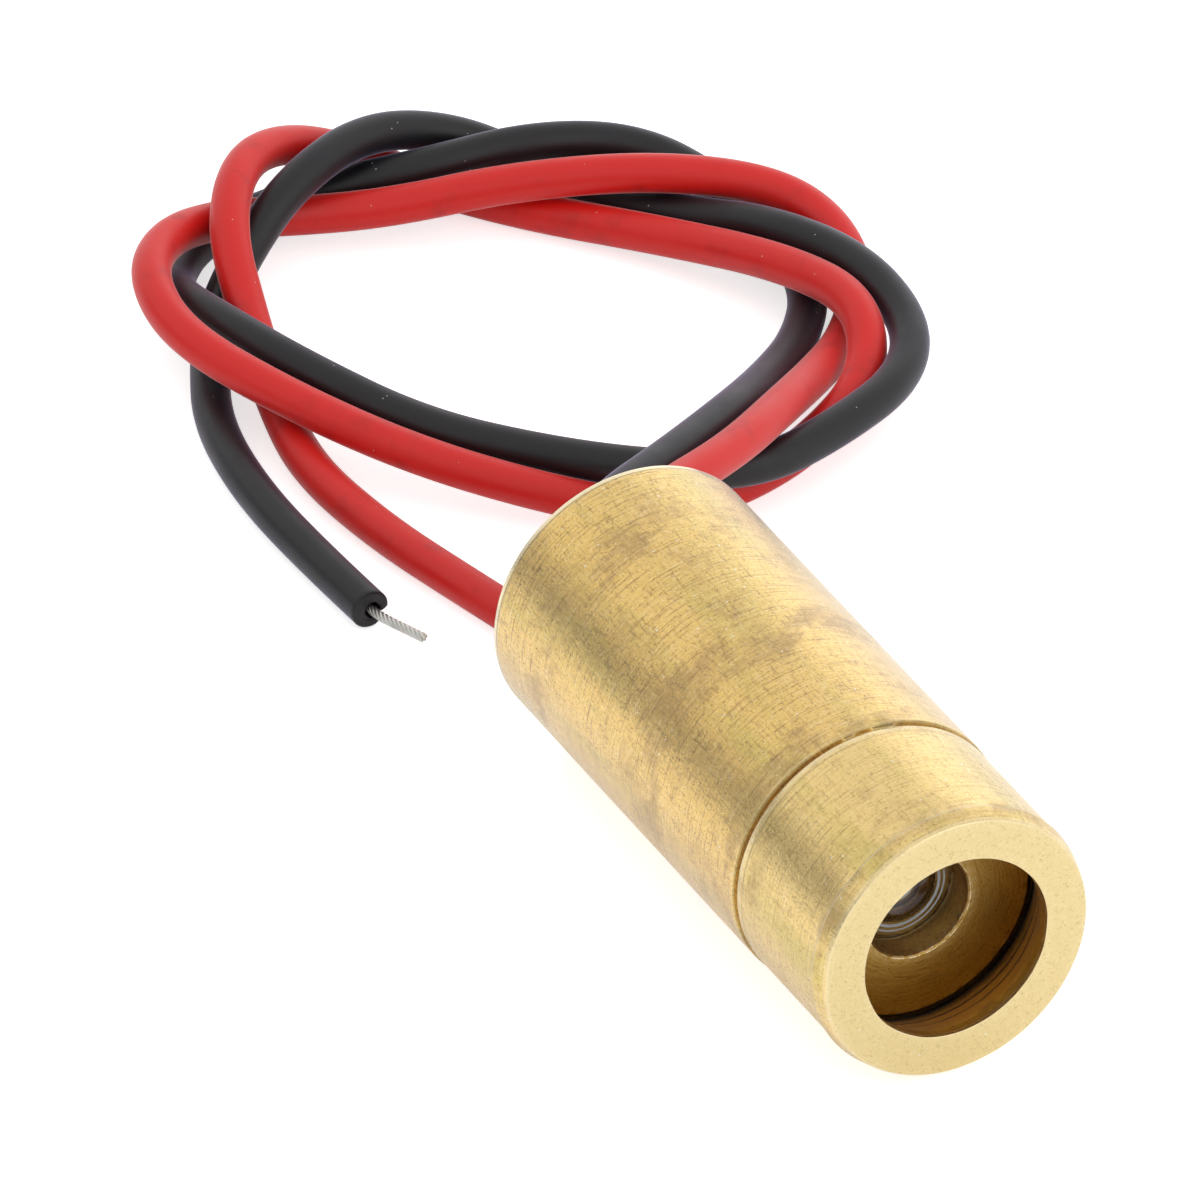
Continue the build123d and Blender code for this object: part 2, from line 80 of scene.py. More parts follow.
def srgb(red: int, green: int, blue: int) -> Colour:
    """Turn a colour as it is seen on a screen into Blender's linear values.

    Args:
        red: Red from 0 to 255.
        green: Green from 0 to 255.
        blue: Blue from 0 to 255.

    Returns:
        The linear colour with an alpha of 1.
    """
    def linear(value: int) -> float:
        """Linear share of one channel."""
        share = value / 255
        return share / 12.92 if share <= 0.04045 else ((share + 0.055) / 1.055) ** 2.4

    return linear(red), linear(green), linear(blue), 1.0


def metres(points: list[Point]) -> list[Vector]:
    """Points in millimetres as vectors in metres."""
    return [Vector(point) * MM for point in points]


class Nodes:
    """Adds, sets and links the nodes of one tree with short calls."""

    def __init__(self, tree: bpy.types.NodeTree) -> None:
        """Start on a tree that may already hold nodes."""
        self.tree = tree

    @classmethod
    def group(
        cls, name: str, kind: str, inputs: dict[str, Value], outputs: dict[str, Value]
    ) -> tuple["Nodes", Node, Node]:
        """Open a node group with its named sockets.

        Args:
            name: The group's name.
            kind: Shader or Geometry.
            inputs: Default value by the name of each input, None for geometry.
            outputs: The same for each output.

        Returns:
            The group's builder, its input node and its output node.
        """
        tree = bpy.data.node_groups.new(name, f"{kind}NodeTree")
        for way, sockets in (("INPUT", inputs), ("OUTPUT", outputs)):
            for label, value in sockets.items():
                sort = f"NodeSocket{SOCKET_KINDS[type(value)]}"
                socket = tree.interface.new_socket(label, in_out=way, socket_type=sort)
                if value is not None:
                    socket.default_value = value
        nodes = cls(tree)
        return nodes, nodes.add("NodeGroupInput"), nodes.add("NodeGroupOutput")

    def feed(self, socket: Socket, value: Value) -> None:
        """Link a socket to another, or set its own value.

        Args:
            socket: The socket.
            value: Another socket, or the value to set.
        """
        if isinstance(value, Socket):
            self.tree.links.new(value, socket)
        else:
            socket.default_value = value

    def add(self, kind: str, inputs: dict | None = None, **settings: object) -> Node:
        """Add a node.

        Args:
            kind: Blender's name for the node type.
            inputs: Values or sockets by the name or index of the input.
            settings: Properties of the node itself.

        Returns:
            The new node.
        """
        node = self.tree.nodes.new(kind)
        for name, value in settings.items():
            setattr(node, name, value)
        for name, value in (inputs or {}).items():
            self.feed(node.inputs[name], value)
        return node

    def fill(self, node: Node, **values: Value) -> Outputs:
        """Feed inputs of a node.

        Args:
            node: The node.
            values: Values or sockets by the name of the input, with underscores for spaces.

        Returns:
            The node's outputs.
        """
        for name, value in values.items():
            self.feed(node.inputs[name.replace("_", " ")], value)
        return node.outputs

    def math(self, operation: str, *values: Value, clamp: bool = False) -> Socket:
        """Result of a Math node on one to three values."""
        node = self.add("ShaderNodeMath", dict(enumerate(values)), operation=operation, use_clamp=clamp)
        return node.outputs[0]

    def product(self, first: Value, *others: Value) -> Value:
        """Multiply values with one another.

        Args:
            first: The first value or socket.
            others: What it is multiplied with, in turn.

        Returns:
            The product, or the first value where it is alone.
        """
        for other in others:
            first = self.math("MULTIPLY", first, other)
        return first

    def total(self, first: Value, *others: Value, clamp: bool = False) -> Value:
        """Add values up.

        Args:
            first: The first value or socket.
            others: What is added to it, in turn.
            clamp: Whether each sum is kept between 0 and 1.

        Returns:
            The sum, or the first value where it is alone.
        """
        for other in others:
            first = self.math("ADD", first, other, clamp=clamp)
        return first

    def vector(self, operation: str, *values: Value) -> Socket:
        """Vector result of a Vector Math node."""
        node = self.add("ShaderNodeVectorMath", dict(enumerate(values)), operation=operation)
        return node.outputs["Vector"]

    def noise(self, vector: Value, scale: float, detail: float = 2.0, roughness: float = 0.5) -> Socket:
        """Value of a noise texture, around one half."""
        inputs = {"Vector": vector, "Scale": scale, "Detail": detail, "Roughness": roughness}
        return self.add("ShaderNodeTexNoise", inputs).outputs["Fac"]

    def ramp(self, value: Value, low: Value, high: Value, start: Value = 0.0, end: Value = 1.0) -> Socket:
        """Smooth step of a value.

        Args:
            value: The value or socket.
            low: Value at which the step begins.
            high: Value at which it ends.
            start: Result at the low value.
            end: Result at the high value.

        Returns:
            The result.
        """
        inputs = {"Value": value, "From Min": low, "From Max": high, "To Min": start, "To Max": end}
        node = self.add("ShaderNodeMapRange", inputs, interpolation_type="SMOOTHSTEP")
        return node.outputs["Result"]

    def mix(self, factor: Value, first: Value, second: Value) -> Socket:
        """Mix two colours.

        Args:
            factor: Share of the second colour.
            first: The first colour.
            second: The second colour.

        Returns:
            The colour between them.
        """
        node = self.add("ShaderNodeMix", data_type="RGBA")
        for index, value in ((0, factor), (6, first), (7, second)):
            self.feed(node.inputs[index], value)
        return node.outputs[2]


class Effect(Enum):
    """Shader effects that several finishes share, each one node group."""

    TURNED = "turned_coordinates"
    HATCH = "tool_hatch"
    GRAIN = "metal_grain"
    DUST = "fine_dust"


class EffectLibrary:
    """Builds each shared shader effect once and places it in materials."""

    def __init__(self, axis_height: float) -> None:
        """Keep the height of the turning axis, in metres."""
        self.axis_height = axis_height

    def turned(self) -> None:
        """Coordinates in millimetres for marks that run round or along a turned piece."""
        outputs = {"Place": ORIGIN, "Profile": ORIGIN, "Radius": 0.0, "Along": 0.0}
        nodes, _, end = Nodes.group(Effect.TURNED.value, "Shader", {}, outputs)
        place = nodes.add("ShaderNodeTexCoord").outputs["Object"]
        centred = nodes.vector("SUBTRACT", place, (0, 0, self.axis_height))
        scaled = nodes.vector("MULTIPLY", centred, (1 / MM,) * 3)
        x, y, z = nodes.add("ShaderNodeSeparateXYZ", {0: scaled}).outputs
        radius = nodes.math("SQRT", nodes.total(nodes.product(x, x), nodes.product(z, z)))
        safe = nodes.math("MAXIMUM", radius, 0.01)
        inputs = {0: nodes.math("DIVIDE", x, safe), 1: nodes.math("SUBTRACT", y, radius)}
        inputs[2] = nodes.math("DIVIDE", z, safe)
        profile = nodes.add("ShaderNodeCombineXYZ", inputs).outputs[0]
        nodes.fill(end, Place=scaled, Profile=profile, Radius=radius, Along=y)

    def hatch(self) -> None:
        """Thin dark and bright lines along the short scale of a stretched vector."""
        inputs = {"Vector": ORIGIN, "Stretch": EQUAL, "Shift": ORIGIN}
        outputs = {"Dark": 0.0, "Bright": 0.0, "Height": 0.0}
        nodes, start, end = Nodes.group(Effect.HATCH.value, "Shader", inputs, outputs)
        vector, stretch, shift = (start.outputs[name] for name in inputs)
        moved = nodes.vector("ADD", nodes.vector("MULTIPLY", vector, stretch), shift)
        value = nodes.noise(moved, 1.0, detail=4.0, roughness=0.7)
        dark, bright = nodes.ramp(value, 0.5, 0.3), nodes.ramp(value, 0.56, 0.74)
        nodes.fill(end, Dark=dark, Bright=bright, Height=value)

    def grain(self) -> None:
        """Fine granular specks, bright and dark, as a worn and oxidised metal skin has."""
        outputs = {"Dark": 0.0, "Bright": 0.0, "Height": 0.0}
        nodes, start, end = Nodes.group(
            Effect.GRAIN.value, "Shader", {"Vector": ORIGIN, "Scale": 9.0}, outputs
        )
        fine = nodes.noise(start.outputs["Vector"], start.outputs["Scale"], detail=4.0, roughness=0.75)
        dark, bright = nodes.ramp(fine, 0.44, 0.34), nodes.ramp(fine, 0.57, 0.67)
        nodes.fill(end, Dark=dark, Bright=bright, Height=fine)

    def dust(self) -> None:
        """Sparse pale specks."""
        inputs = {"Vector": ORIGIN, "Scale": 3000.0, "Amount": 0.05}
        nodes, start, end = Nodes.group(Effect.DUST.value, "Shader", inputs, {"Mask": 0.0})
        cells = nodes.add("ShaderNodeTexVoronoi", {"Vector": start.outputs[0], "Scale": start.outputs[1]})
        dots = nodes.ramp(cells.outputs["Distance"], 0.12, 0.22, 1.0, 0.0)
        picked = nodes.add("ShaderNodeSeparateColor", {0: cells.outputs["Color"]}).outputs[0]
        chosen = nodes.math("LESS_THAN", picked, start.outputs["Amount"])
        nodes.fill(end, Mask=nodes.product(dots, chosen))

    def build(self) -> None:
        """Make every group."""
        for make in (self.turned, self.hatch, self.grain, self.dust):
            make()

    @staticmethod
    def place(nodes: Nodes, effect: Effect, **values: Value) -> Outputs:
        """Put an effect in a material.

        Args:
            nodes: The material's builder.
            effect: The effect to place.
            values: Values or sockets by input name.

        Returns:
            The group node's outputs, by name.
        """
        group = nodes.add("ShaderNodeGroup", node_tree=bpy.data.node_groups[effect.value])
        return nodes.fill(group, **values)


@dataclass(frozen=True)
class Finish:
    """A named material with a Principled shader at its end."""

    name: str

    def open(self) -> tuple[Material, Nodes, Node]:
        """Make the material.

        Returns:
            The material, its tree's builder and its shader.
        """
        material = bpy.data.materials.new(self.name)
        material.use_nodes = True
        return material, Nodes(material.node_tree), material.node_tree.nodes["Principled BSDF"]

    @staticmethod
    def bump(nodes: Nodes, height: Socket, strength: float, depth: float) -> Socket:
        """Bend the surface's normal.

        Args:
            nodes: The material's builder.
            height: Height of the relief, around one half.
            strength: Share of the relief that shows.
            depth: Depth of the whole relief in millimetres.

        Returns:
            The bent normal.
        """
        inputs = {"Strength": strength, "Distance": depth * MM, "Height": height}
        return nodes.add("ShaderNodeBump", inputs).outputs["Normal"]


@dataclass(frozen=True)
class Ring:
    """A mark that runs once round a turned piece, placed along its axis in millimetres."""

    along: float
    width: float
    weight: float

    def mask(self, nodes: Nodes, along: Socket) -> Socket:
        """Weight at the ring's middle, falling off to both sides."""
        away = nodes.math("DIVIDE", nodes.math("SUBTRACT", along, self.along), self.width)
        return nodes.math("DIVIDE", self.weight, nodes.total(nodes.math("POWER", away, 4.0), 1.0))


@dataclass(frozen=True)
class BrassFinish(Finish):
    """Turned brass: hatched by tools and handling, stained brown, pale where it is worn, with painted
    highlights on its bevels.

    The outer skin has the hatch, the stains and the yellow bands. The end face has only grain,
    and bores take a painted shade colour, less dark in the throat. Radii and places along the axis are in
    millimetres.
    """

    base: Colour = srgb(243, 202, 110)
    pale: Colour = srgb(255, 240, 200)
    brown: Colour = srgb(160, 120, 66)
    pit: Colour = srgb(132, 92, 34)
    olive: Colour = srgb(204, 184, 88)
    # shade is the painted shade colour of bores; throat is a less dark painted shade for the aperture's
    # throat
    shade: Colour = srgb(112, 84, 36)
    throat: Colour = srgb(214, 168, 92)
    face: Colour = srgb(231, 208, 147)
    # colour of dark rings and of painted shade at the seam and in gaps
    grime_and_shade: Colour = srgb(60, 42, 16)
    speck: Colour = srgb(250, 248, 240)
    skin_radius: float = 4.33
    bore_radius: float = 3.95
    bore_start: float = -10.42
    face_end: float = -10.45
    throat_radius: float = 1.72
    # radius beyond which the painted shade of the gap round the cell lies
    shaded_rim_radius: float = 9.0
    stain_rings: tuple[Ring, ...] = ()
    dark_rings: tuple[Ring, ...] = ()
    # painted highlights round bevels and chamfers
    painted_highlight_rings: tuple[Ring, ...] = ()
    bore_rings: tuple[Ring, ...] = ()
    stain_share: float = 0.5
    hatch_share: float = 0.5
    grain_share: float = 0.8
    edge_share: float = 0.4
    # pale edges in the bore: partly wear, partly painted highlight
    bore_edge_wear_and_highlight: float = 0.0
    roughness: float = 0.25
    stain_roughness: float = 0.15
    bore_roughness: float = 0.12
    coat: float = 0.9
    sheen: float = 0.3
    relief: float = 0.32
    relief_depth: float = 0.035
    shift: float = 0.0

    def marks(self, nodes: Nodes, turned: Outputs) -> dict[str, Outputs]:
        """Mark the metal with hatch round it and along it, with grain and with specks.

        Args:
            nodes: The material's builder.
            turned: Outputs of the turned coordinates.

        Returns:
            Outputs of each effect by its name.
        """
        place, marks = turned["Place"], {}
        for name, stretch, shift in (("rings", (3.0, 11.0, 3.0), 0.0), ("lines", (44.0, 1.6, 44.0), 3.0)):
            moved = (self.shift + shift,) * 3
            marks[name] = EffectLibrary.place(
                nodes, Effect.HATCH, Vector=turned["Profile"], Stretch=stretch, Shift=moved
            )
        marks["grain"] = EffectLibrary.place(nodes, Effect.GRAIN, Vector=place, Scale=11.0)
        marks["specks"] = EffectLibrary.place(nodes, Effect.DUST, Vector=place, Scale=5.0, Amount=0.035)
        return marks

    def bands(self, nodes: Nodes, profile: Socket) -> Socket:
        """Soft yellow bands along the piece.

        Args:
            nodes: The material's builder.
            profile: Coordinates that run round and along the piece.

        Returns:
            Their mask.
        """
        stretched = nodes.vector("MULTIPLY", profile, (2.6, 0.09, 2.6))
        moved = nodes.vector("ADD", stretched, (self.shift + 8.0,) * 3)
        return nodes.ramp(nodes.noise(moved, 1.0, detail=3.0, roughness=0.6), 0.45, 0.7)

    def zones(self, nodes: Nodes, turned: Outputs) -> dict[str, Socket]:
        """Tell the piece's zones apart.

        Args:
            nodes: The material's builder.
            turned: Outputs of the turned coordinates.

        Returns:
            Masks of the zones by name.
        """
        radius, along = turned["Radius"], turned["Along"]
        skin = nodes.ramp(radius, self.skin_radius - 0.03, self.skin_radius + 0.05)
        inner = nodes.ramp(radius, self.bore_radius, self.bore_radius - 0.05)
        bore = nodes.product(inner, nodes.ramp(along, self.bore_start, self.bore_start + 0.12))
        face = nodes.ramp(along, self.face_end, self.face_end - 0.03)
        return {
            "skin": skin, "bore": bore, "face": face,
            "throat": nodes.ramp(radius, self.throat_radius + 0.02, self.throat_radius - 0.02),
            # painted shade in the gap beyond the rim
            "rim": nodes.ramp(radius, self.shaded_rim_radius, self.shaded_rim_radius + 0.12),
            "outside": nodes.math("SUBTRACT", 1.0, bore),
            "round": nodes.math("SUBTRACT", 1.0, face),
            "stains": nodes.product(self.stains(nodes, turned), skin),
            "edge": nodes.add("ShaderNodeAttribute", attribute_name="edge").outputs["Fac"],
        }

    @staticmethod
    def rings(nodes: Nodes, rings: tuple[Ring, ...], along: Socket) -> Value:
        """Masks of several rings added up."""
        return nodes.total(0.0, *(ring.mask(nodes, along) for ring in rings))

    def stains(self, nodes: Nodes, turned: Outputs) -> Socket:
        """Brown stains, gathered round the rings that the finish names.

        Args:
            nodes: The material's builder.
            turned: Outputs of the turned coordinates.

        Returns:
            Their mask.
        """
        place = nodes.vector("ADD", turned["Place"], (self.shift, 3.0, 1.0))
        cloud = nodes.noise(place, 0.55, detail=8.0, roughness=0.7)
        nearness = self.rings(nodes, self.stain_rings, turned["Along"])
        return nodes.ramp(nodes.total(cloud, nearness), 0.52, 0.72)

    def worn(self, nodes: Nodes, turned: Outputs, zones: dict[str, Socket]) -> Socket:
        """Painted highlight rings on the bevels and pale worn edges, which are broken in the bore and are
        partly painted highlight there.

        Args:
            nodes: The material's builder.
            turned: Outputs of the turned coordinates.
            zones: Masks of the piece's zones by name.

        Returns:
            Their mask.
        """
        broken = nodes.ramp(nodes.noise(turned["Place"], 5.0, detail=3.0, roughness=0.7), 0.42, 0.56)
        # pale edges in the bore, partly worn and partly painted highlight
        inner = nodes.product(zones["edge"], self.bore_edge_wear_and_highlight, zones["bore"], broken)
        outer = nodes.product(zones["edge"], self.edge_share, zones["outside"])
        # painted highlight rings on the bevels
        rings = self.rings(nodes, self.painted_highlight_rings, turned["Along"])
        return nodes.total(outer, inner, rings, clamp=True)

    def dark_rings_and_shade(self, nodes: Nodes, turned: Outputs, zones: dict[str, Socket]) -> Socket:
        """Dark rings, uneven round the piece, and painted shade beyond the rim; the rings that the finishes
        set at the seam and at the bore's floor are painted shade too.

        Args:
            nodes: The material's builder.
            turned: Outputs of the turned coordinates.
            zones: Masks of the piece's zones by name.

        Returns:
            Their mask.
        """
        uneven = nodes.ramp(nodes.noise(turned["Place"], 0.9, detail=4.0, roughness=0.6), 0.3, 0.6, 0.45, 1.0)
        dark = [
            nodes.product(self.rings(nodes, rings, turned["Along"]), zones[zone], uneven)
            for rings, zone in ((self.dark_rings, "skin"), (self.bore_rings, "bore"))
        ]
        return nodes.total(*dark, zones["rim"], clamp=True)

    def colour(
        self, nodes: Nodes, turned: Outputs, marks: dict[str, Outputs], zones: dict[str, Socket]
    ) -> Socket:
        """Colour of the metal, laid on in layers from the base to the dark rings and painted shade.

        Args:
            nodes: The material's builder.
            turned: Outputs of the turned coordinates.
            marks: Outputs of the effects by name.
            zones: Masks of the piece's zones by name.

        Returns:
            The colour.
        """
        skin, outside = zones["skin"], zones["outside"]
        hatch, grain = self.hatch_share, self.grain_share
        coarse = nodes.math("SUBTRACT", 1.0, nodes.product(zones["face"], 0.4))
        layers = (
            (self.olive, self.bands(nodes, turned["Profile"]), 0.6, skin),
            (self.brown, zones["stains"], self.stain_share),
            (self.face, zones["face"]),
            # bores get painted shade, less dark in the aperture's throat
            (nodes.mix(zones["throat"], self.shade, self.throat), zones["bore"]),
            (self.pit, marks["lines"]["Dark"], 0.8 * hatch, skin),
            (self.pit, marks["rings"]["Dark"], hatch, zones["round"]),
            (self.pit, marks["grain"]["Dark"], grain, coarse),
            (self.pale, marks["rings"]["Bright"], 0.7 * hatch, outside),
            (self.pale, marks["lines"]["Bright"], 0.4 * hatch, skin),
            (self.pale, marks["grain"]["Bright"], 0.7 * grain, outside),
            # pale worn edges and painted highlights on the bevels
            (self.pale, self.worn(nodes, turned, zones)),
            (self.speck, marks["specks"]["Mask"], 0.75, outside),
            # dark rings, with painted shade at the seam, the bore's floor and beyond the rim
            (self.grime_and_shade, self.dark_rings_and_shade(nodes, turned, zones)),
        )
        colour = self.base
        for paint, *mask in layers:
            colour = nodes.mix(nodes.product(*mask), colour, paint)
        return colour

    def material(self) -> Material:
        """Build the material.

        Returns:
            The material.
        """
        material, nodes, shader = self.open()
        turned = EffectLibrary.place(nodes, Effect.TURNED)
        marks, zones = self.marks(nodes, turned), self.zones(nodes, turned)
        rough = nodes.total(
            nodes.product(zones["stains"], self.stain_roughness),
            nodes.product(zones["bore"], self.bore_roughness), self.roughness,
        )
        rings, lines, grain = (marks[name]["Height"] for name in ("rings", "lines", "grain"))
        height = nodes.total(rings, grain, nodes.product(lines, 0.7))
        nodes.fill(
            shader, Base_Color=self.colour(nodes, turned, marks, zones),
            Roughness=rough, Metallic=1.0, Coat_Weight=nodes.product(zones["outside"], self.coat),
            Coat_Roughness=0.45, Coat_IOR=1.5, Sheen_Weight=self.sheen, Sheen_Roughness=0.5,
            Normal=self.bump(nodes, height, self.relief, self.relief_depth),
        )
        return material


@dataclass(frozen=True)
class InsulationFinish(Finish):
    """Soft satin insulation with a faint bloom, smudges from handling and sparse dust."""

    base: Colour
    bloom: Colour
    smudge: Colour
    lint: Colour = srgb(225, 215, 205)
    roughness: float = 0.42
    sheen: float = 1.0
    sheen_tint: Colour = (1.0, 1.0, 1.0, 1.0)
    dust: float = 0.008
    relief: float = 0.12
    relief_depth: float = 0.02

    def material(self) -> Material:
        """Build the material.

        Returns:
            The material.
        """
        material, nodes, shader = self.open()
        place = nodes.add("ShaderNodeTexCoord").outputs["Object"]
        cloud = nodes.noise(place, 420.0, detail=4.0, roughness=0.6)
        fine = nodes.noise(place, 9000.0, detail=3.0)
        specks = EffectLibrary.place(nodes, Effect.DUST, Vector=place, Scale=7000.0, Amount=self.dust)
        touched = nodes.ramp(nodes.noise(place, 800.0, detail=3.0, roughness=0.5), 0.56, 0.74, 0.0, 0.3)
        colour = nodes.mix(nodes.ramp(cloud, 0.42, 0.72, 0.0, 0.35), self.base, self.bloom)
        colour = nodes.mix(touched, colour, self.smudge)
        colour = nodes.mix(nodes.product(specks["Mask"], 0.5), colour, self.lint)
        height = nodes.total(fine, nodes.product(cloud, 1.5))
        nodes.fill(
            shader, Base_Color=colour,
            Roughness=nodes.ramp(cloud, 0.3, 0.7, self.roughness, self.roughness + 0.12),
            Sheen_Weight=self.sheen, Sheen_Roughness=0.28, Sheen_Tint=self.sheen_tint,
            Normal=self.bump(nodes, height, self.relief, self.relief_depth),
        )
        return material


@dataclass(frozen=True)
class MottledFinish(Finish):
    """Moulded, cast or fired material with a second colour in soft, rougher patches."""

    base: Colour
    patch: Colour
    roughness: float = 0.5
    scale: float = 3000.0
    patch_range: tuple[float, float] = (0.35, 0.75)
    patch_roughness: float = 0.15
    metallic: float = 0.0
    relief: float = 0.2
    relief_depth: float = 0.02

    def height(self, nodes: Nodes, place: Socket, cloud: Socket) -> Socket:
        """Height of the relief, here the patches themselves."""
        return cloud

    def material(self) -> Material:
        """Build the material.

        Returns:
            The material.
        """
        material, nodes, shader = self.open()
        place = nodes.add("ShaderNodeTexCoord").outputs["Object"]
        cloud = nodes.noise(place, self.scale, detail=5.0, roughness=0.6)
        height = self.height(nodes, place, cloud)
        nodes.fill(
            shader, Base_Color=nodes.mix(nodes.ramp(cloud, *self.patch_range), self.base, self.patch),
            Roughness=nodes.ramp(cloud, 0.3, 0.7, self.roughness, self.roughness + self.patch_roughness),
            Metallic=self.metallic, Normal=self.bump(nodes, height, self.relief, self.relief_depth),
        )
        return material


@dataclass(frozen=True)
class MetalFinish(MottledFinish):
    """Drawn or plated metal with a little staining and fine scratches along Y."""

    roughness: float = 0.3
    scale: float = 1000.0
    patch_range: tuple[float, float] = (0.45, 0.7)
    patch_roughness: float = 0.2
    metallic: float = 1.0
    relief_depth: float = 0.01
    scratch_scale: float = 7500.0

    def height(self, nodes: Nodes, place: Socket, cloud: Socket) -> Socket:
        """Height of the relief, here scratches."""
        return nodes.noise(nodes.vector("MULTIPLY", place, (1.0, 0.12, 1.0)), self.scratch_scale, detail=3.0)


@dataclass(frozen=True)
class GlassFinish(Finish):
    """Clear glass with a thin coating, near black outside its clear zone."""

    tint: Colour
    coat_tint: Colour
    black: Colour = srgb(16, 15, 17)
    lint: Colour = srgb(200, 200, 195)
    index: float = 1.6
    coat_index: float = 2.4
    clear_radius: float = 9.0

    def material(self) -> Material:
        """Build the material.

        Returns:
            The material.
        """
        material, nodes, shader = self.open()
        turned = EffectLibrary.place(nodes, Effect.TURNED)
        specks = EffectLibrary.place(nodes, Effect.DUST, Vector=turned["Place"], Scale=4.0, Amount=0.05)
        colour = nodes.mix(specks["Mask"], self.tint, self.lint)
        # near black outside the clear zone
        dark_edge = nodes.ramp(turned["Radius"], self.clear_radius, self.clear_radius + 0.03)
        nodes.fill(
            shader, Base_Color=nodes.mix(dark_edge, colour, self.black),
            Roughness=nodes.ramp(specks["Mask"], 0.0, 1.0, 0.05, 0.4), Transmission_Weight=1.0,
            IOR=self.index, Coat_Weight=1.0, Coat_Roughness=0.05, Coat_IOR=self.coat_index,
            Coat_Tint=self.coat_tint,
        )
        return material


@dataclass
class TurnedPiece:
    """A piece made on a lathe, as a closed outline turned about the axis.

    The outline's corners are (distance along Y, radius, edge radius) in millimetres. Each corner
    is rounded by its edge radius, and the rounded stretch is marked as worn. A solid piece starts
    and ends on the axis.
    """

    name: str
    node: str
    slot: str
    outline: Profile
    axis_height: float
    sides: int = 320
    arc_steps: int = 3
    longest_step: float = 0.35
    longest_reach: float = 0.45
    wear_fall: float = 0.8
    least_wear: float = 0.1
    dent_start: float = 0.1
    dent_depth: float = 0.0
    dent_scale: float = 1.1
    seed: float = 0.0
    solid: bool = False

    def rounded(self) -> Profile:
        """Round the outline's corners and cut its long stretches into steps.

        Returns:
            The outline as (along, radius, wear).
        """
        result: Profile = []
        count = len(self.outline)
        for index, (along, radius, edge) in enumerate(self.outline):
            if self.solid and radius == 0:
                result.append((along, radius, 0.0))
                continue
            corner = Vector((along, radius))
            before = Vector(self.outline[index - 1][:2]) - corner
            after = Vector(self.outline[(index + 1) % count][:2]) - corner
            reach = min(edge, self.longest_reach * before.length, self.longest_reach * after.length)
            start, end = corner + before.normalized() * reach, corner + after.normalized() * reach
            for step in range(self.arc_steps + 1):
                share = step / self.arc_steps
                point = start.lerp(corner, share).lerp(corner.lerp(end, share), share)
                wear = 1.0 - self.wear_fall * abs(2 * share - 1) ** 2
                result.append((point.x, point.y, wear))
        return self.divided(result)

    def divided(self, points: Profile) -> Profile:
        """Cut an outline's long stretches into steps.

        Args:
            points: The outline as (along, radius, wear).

        Returns:
            The same outline with more points.
        """
        result = []
        for index, point in enumerate(points):
            following = points[(index + 1) % len(points)]
            if self.solid and index + 1 == len(points):
                result.append(point)
                break
            length = math.dist(point[:2], following[:2])
            steps = max(1, math.ceil(length / self.longest_step))
            result.append(point)
            for step in range(1, steps):
                share = step / steps
                result.append((
                    point[0] + (following[0] - point[0]) * share,
                    point[1] + (following[1] - point[1]) * share,
                    0.0,
                ))
        return result

    def dent(self, point: Vector, wear: float) -> float:
        """Dent a worn edge.

        Args:
            point: Place on the edge in millimetres.
            wear: Wear there, from 0 to 1.

        Returns:
            Change of the radius in millimetres, never above zero.
        """
        if not self.dent_depth or wear < self.least_wear:
            return 0.0
        value = noise.noise(point * self.dent_scale + Vector((self.seed, 0, 0)))
        return -self.dent_depth * max(0.0, value - self.dent_start) * wear

    def build(self) -> Object:
        """Make the closed mesh with its wear attribute.

        Returns:
            The piece.
        """
        outline = self.rounded()
        mesh = bpy.data.meshes.new(self.name)
        form = bmesh.new()
        layer = form.verts.layers.float.new("edge")
        rings = []
        for along, radius, wear in outline:
            ring = []
            for side in range(self.sides):
                angle = 2 * math.pi * side / self.sides
                spot = Vector((radius * math.cos(angle), along, radius * math.sin(angle)))
                local = max(radius + self.dent(spot, wear), 0.0)
                place = Vector((local * math.cos(angle), along, local * math.sin(angle) + self.axis_height))
                vertex = form.verts.new(place * MM)
                vertex[layer] = wear
                ring.append(vertex)
            rings.append(ring)
        closing = [] if self.solid else rings[:1]
        for first, second in zip(rings, rings[1:] + closing):
            for side in range(self.sides):
                following = (side + 1) % self.sides
                form.faces.new((first[side], first[following], second[following], second[side]))
        bmesh.ops.remove_doubles(form, verts=form.verts, dist=1e-8)
        bmesh.ops.recalc_face_normals(form, faces=form.faces)
        for face in form.faces:
            face.smooth = True
        form.to_mesh(mesh)
        form.free()
        piece = bpy.data.objects.new(self.name, mesh)
        bpy.context.collection.objects.link(piece)
        return piece


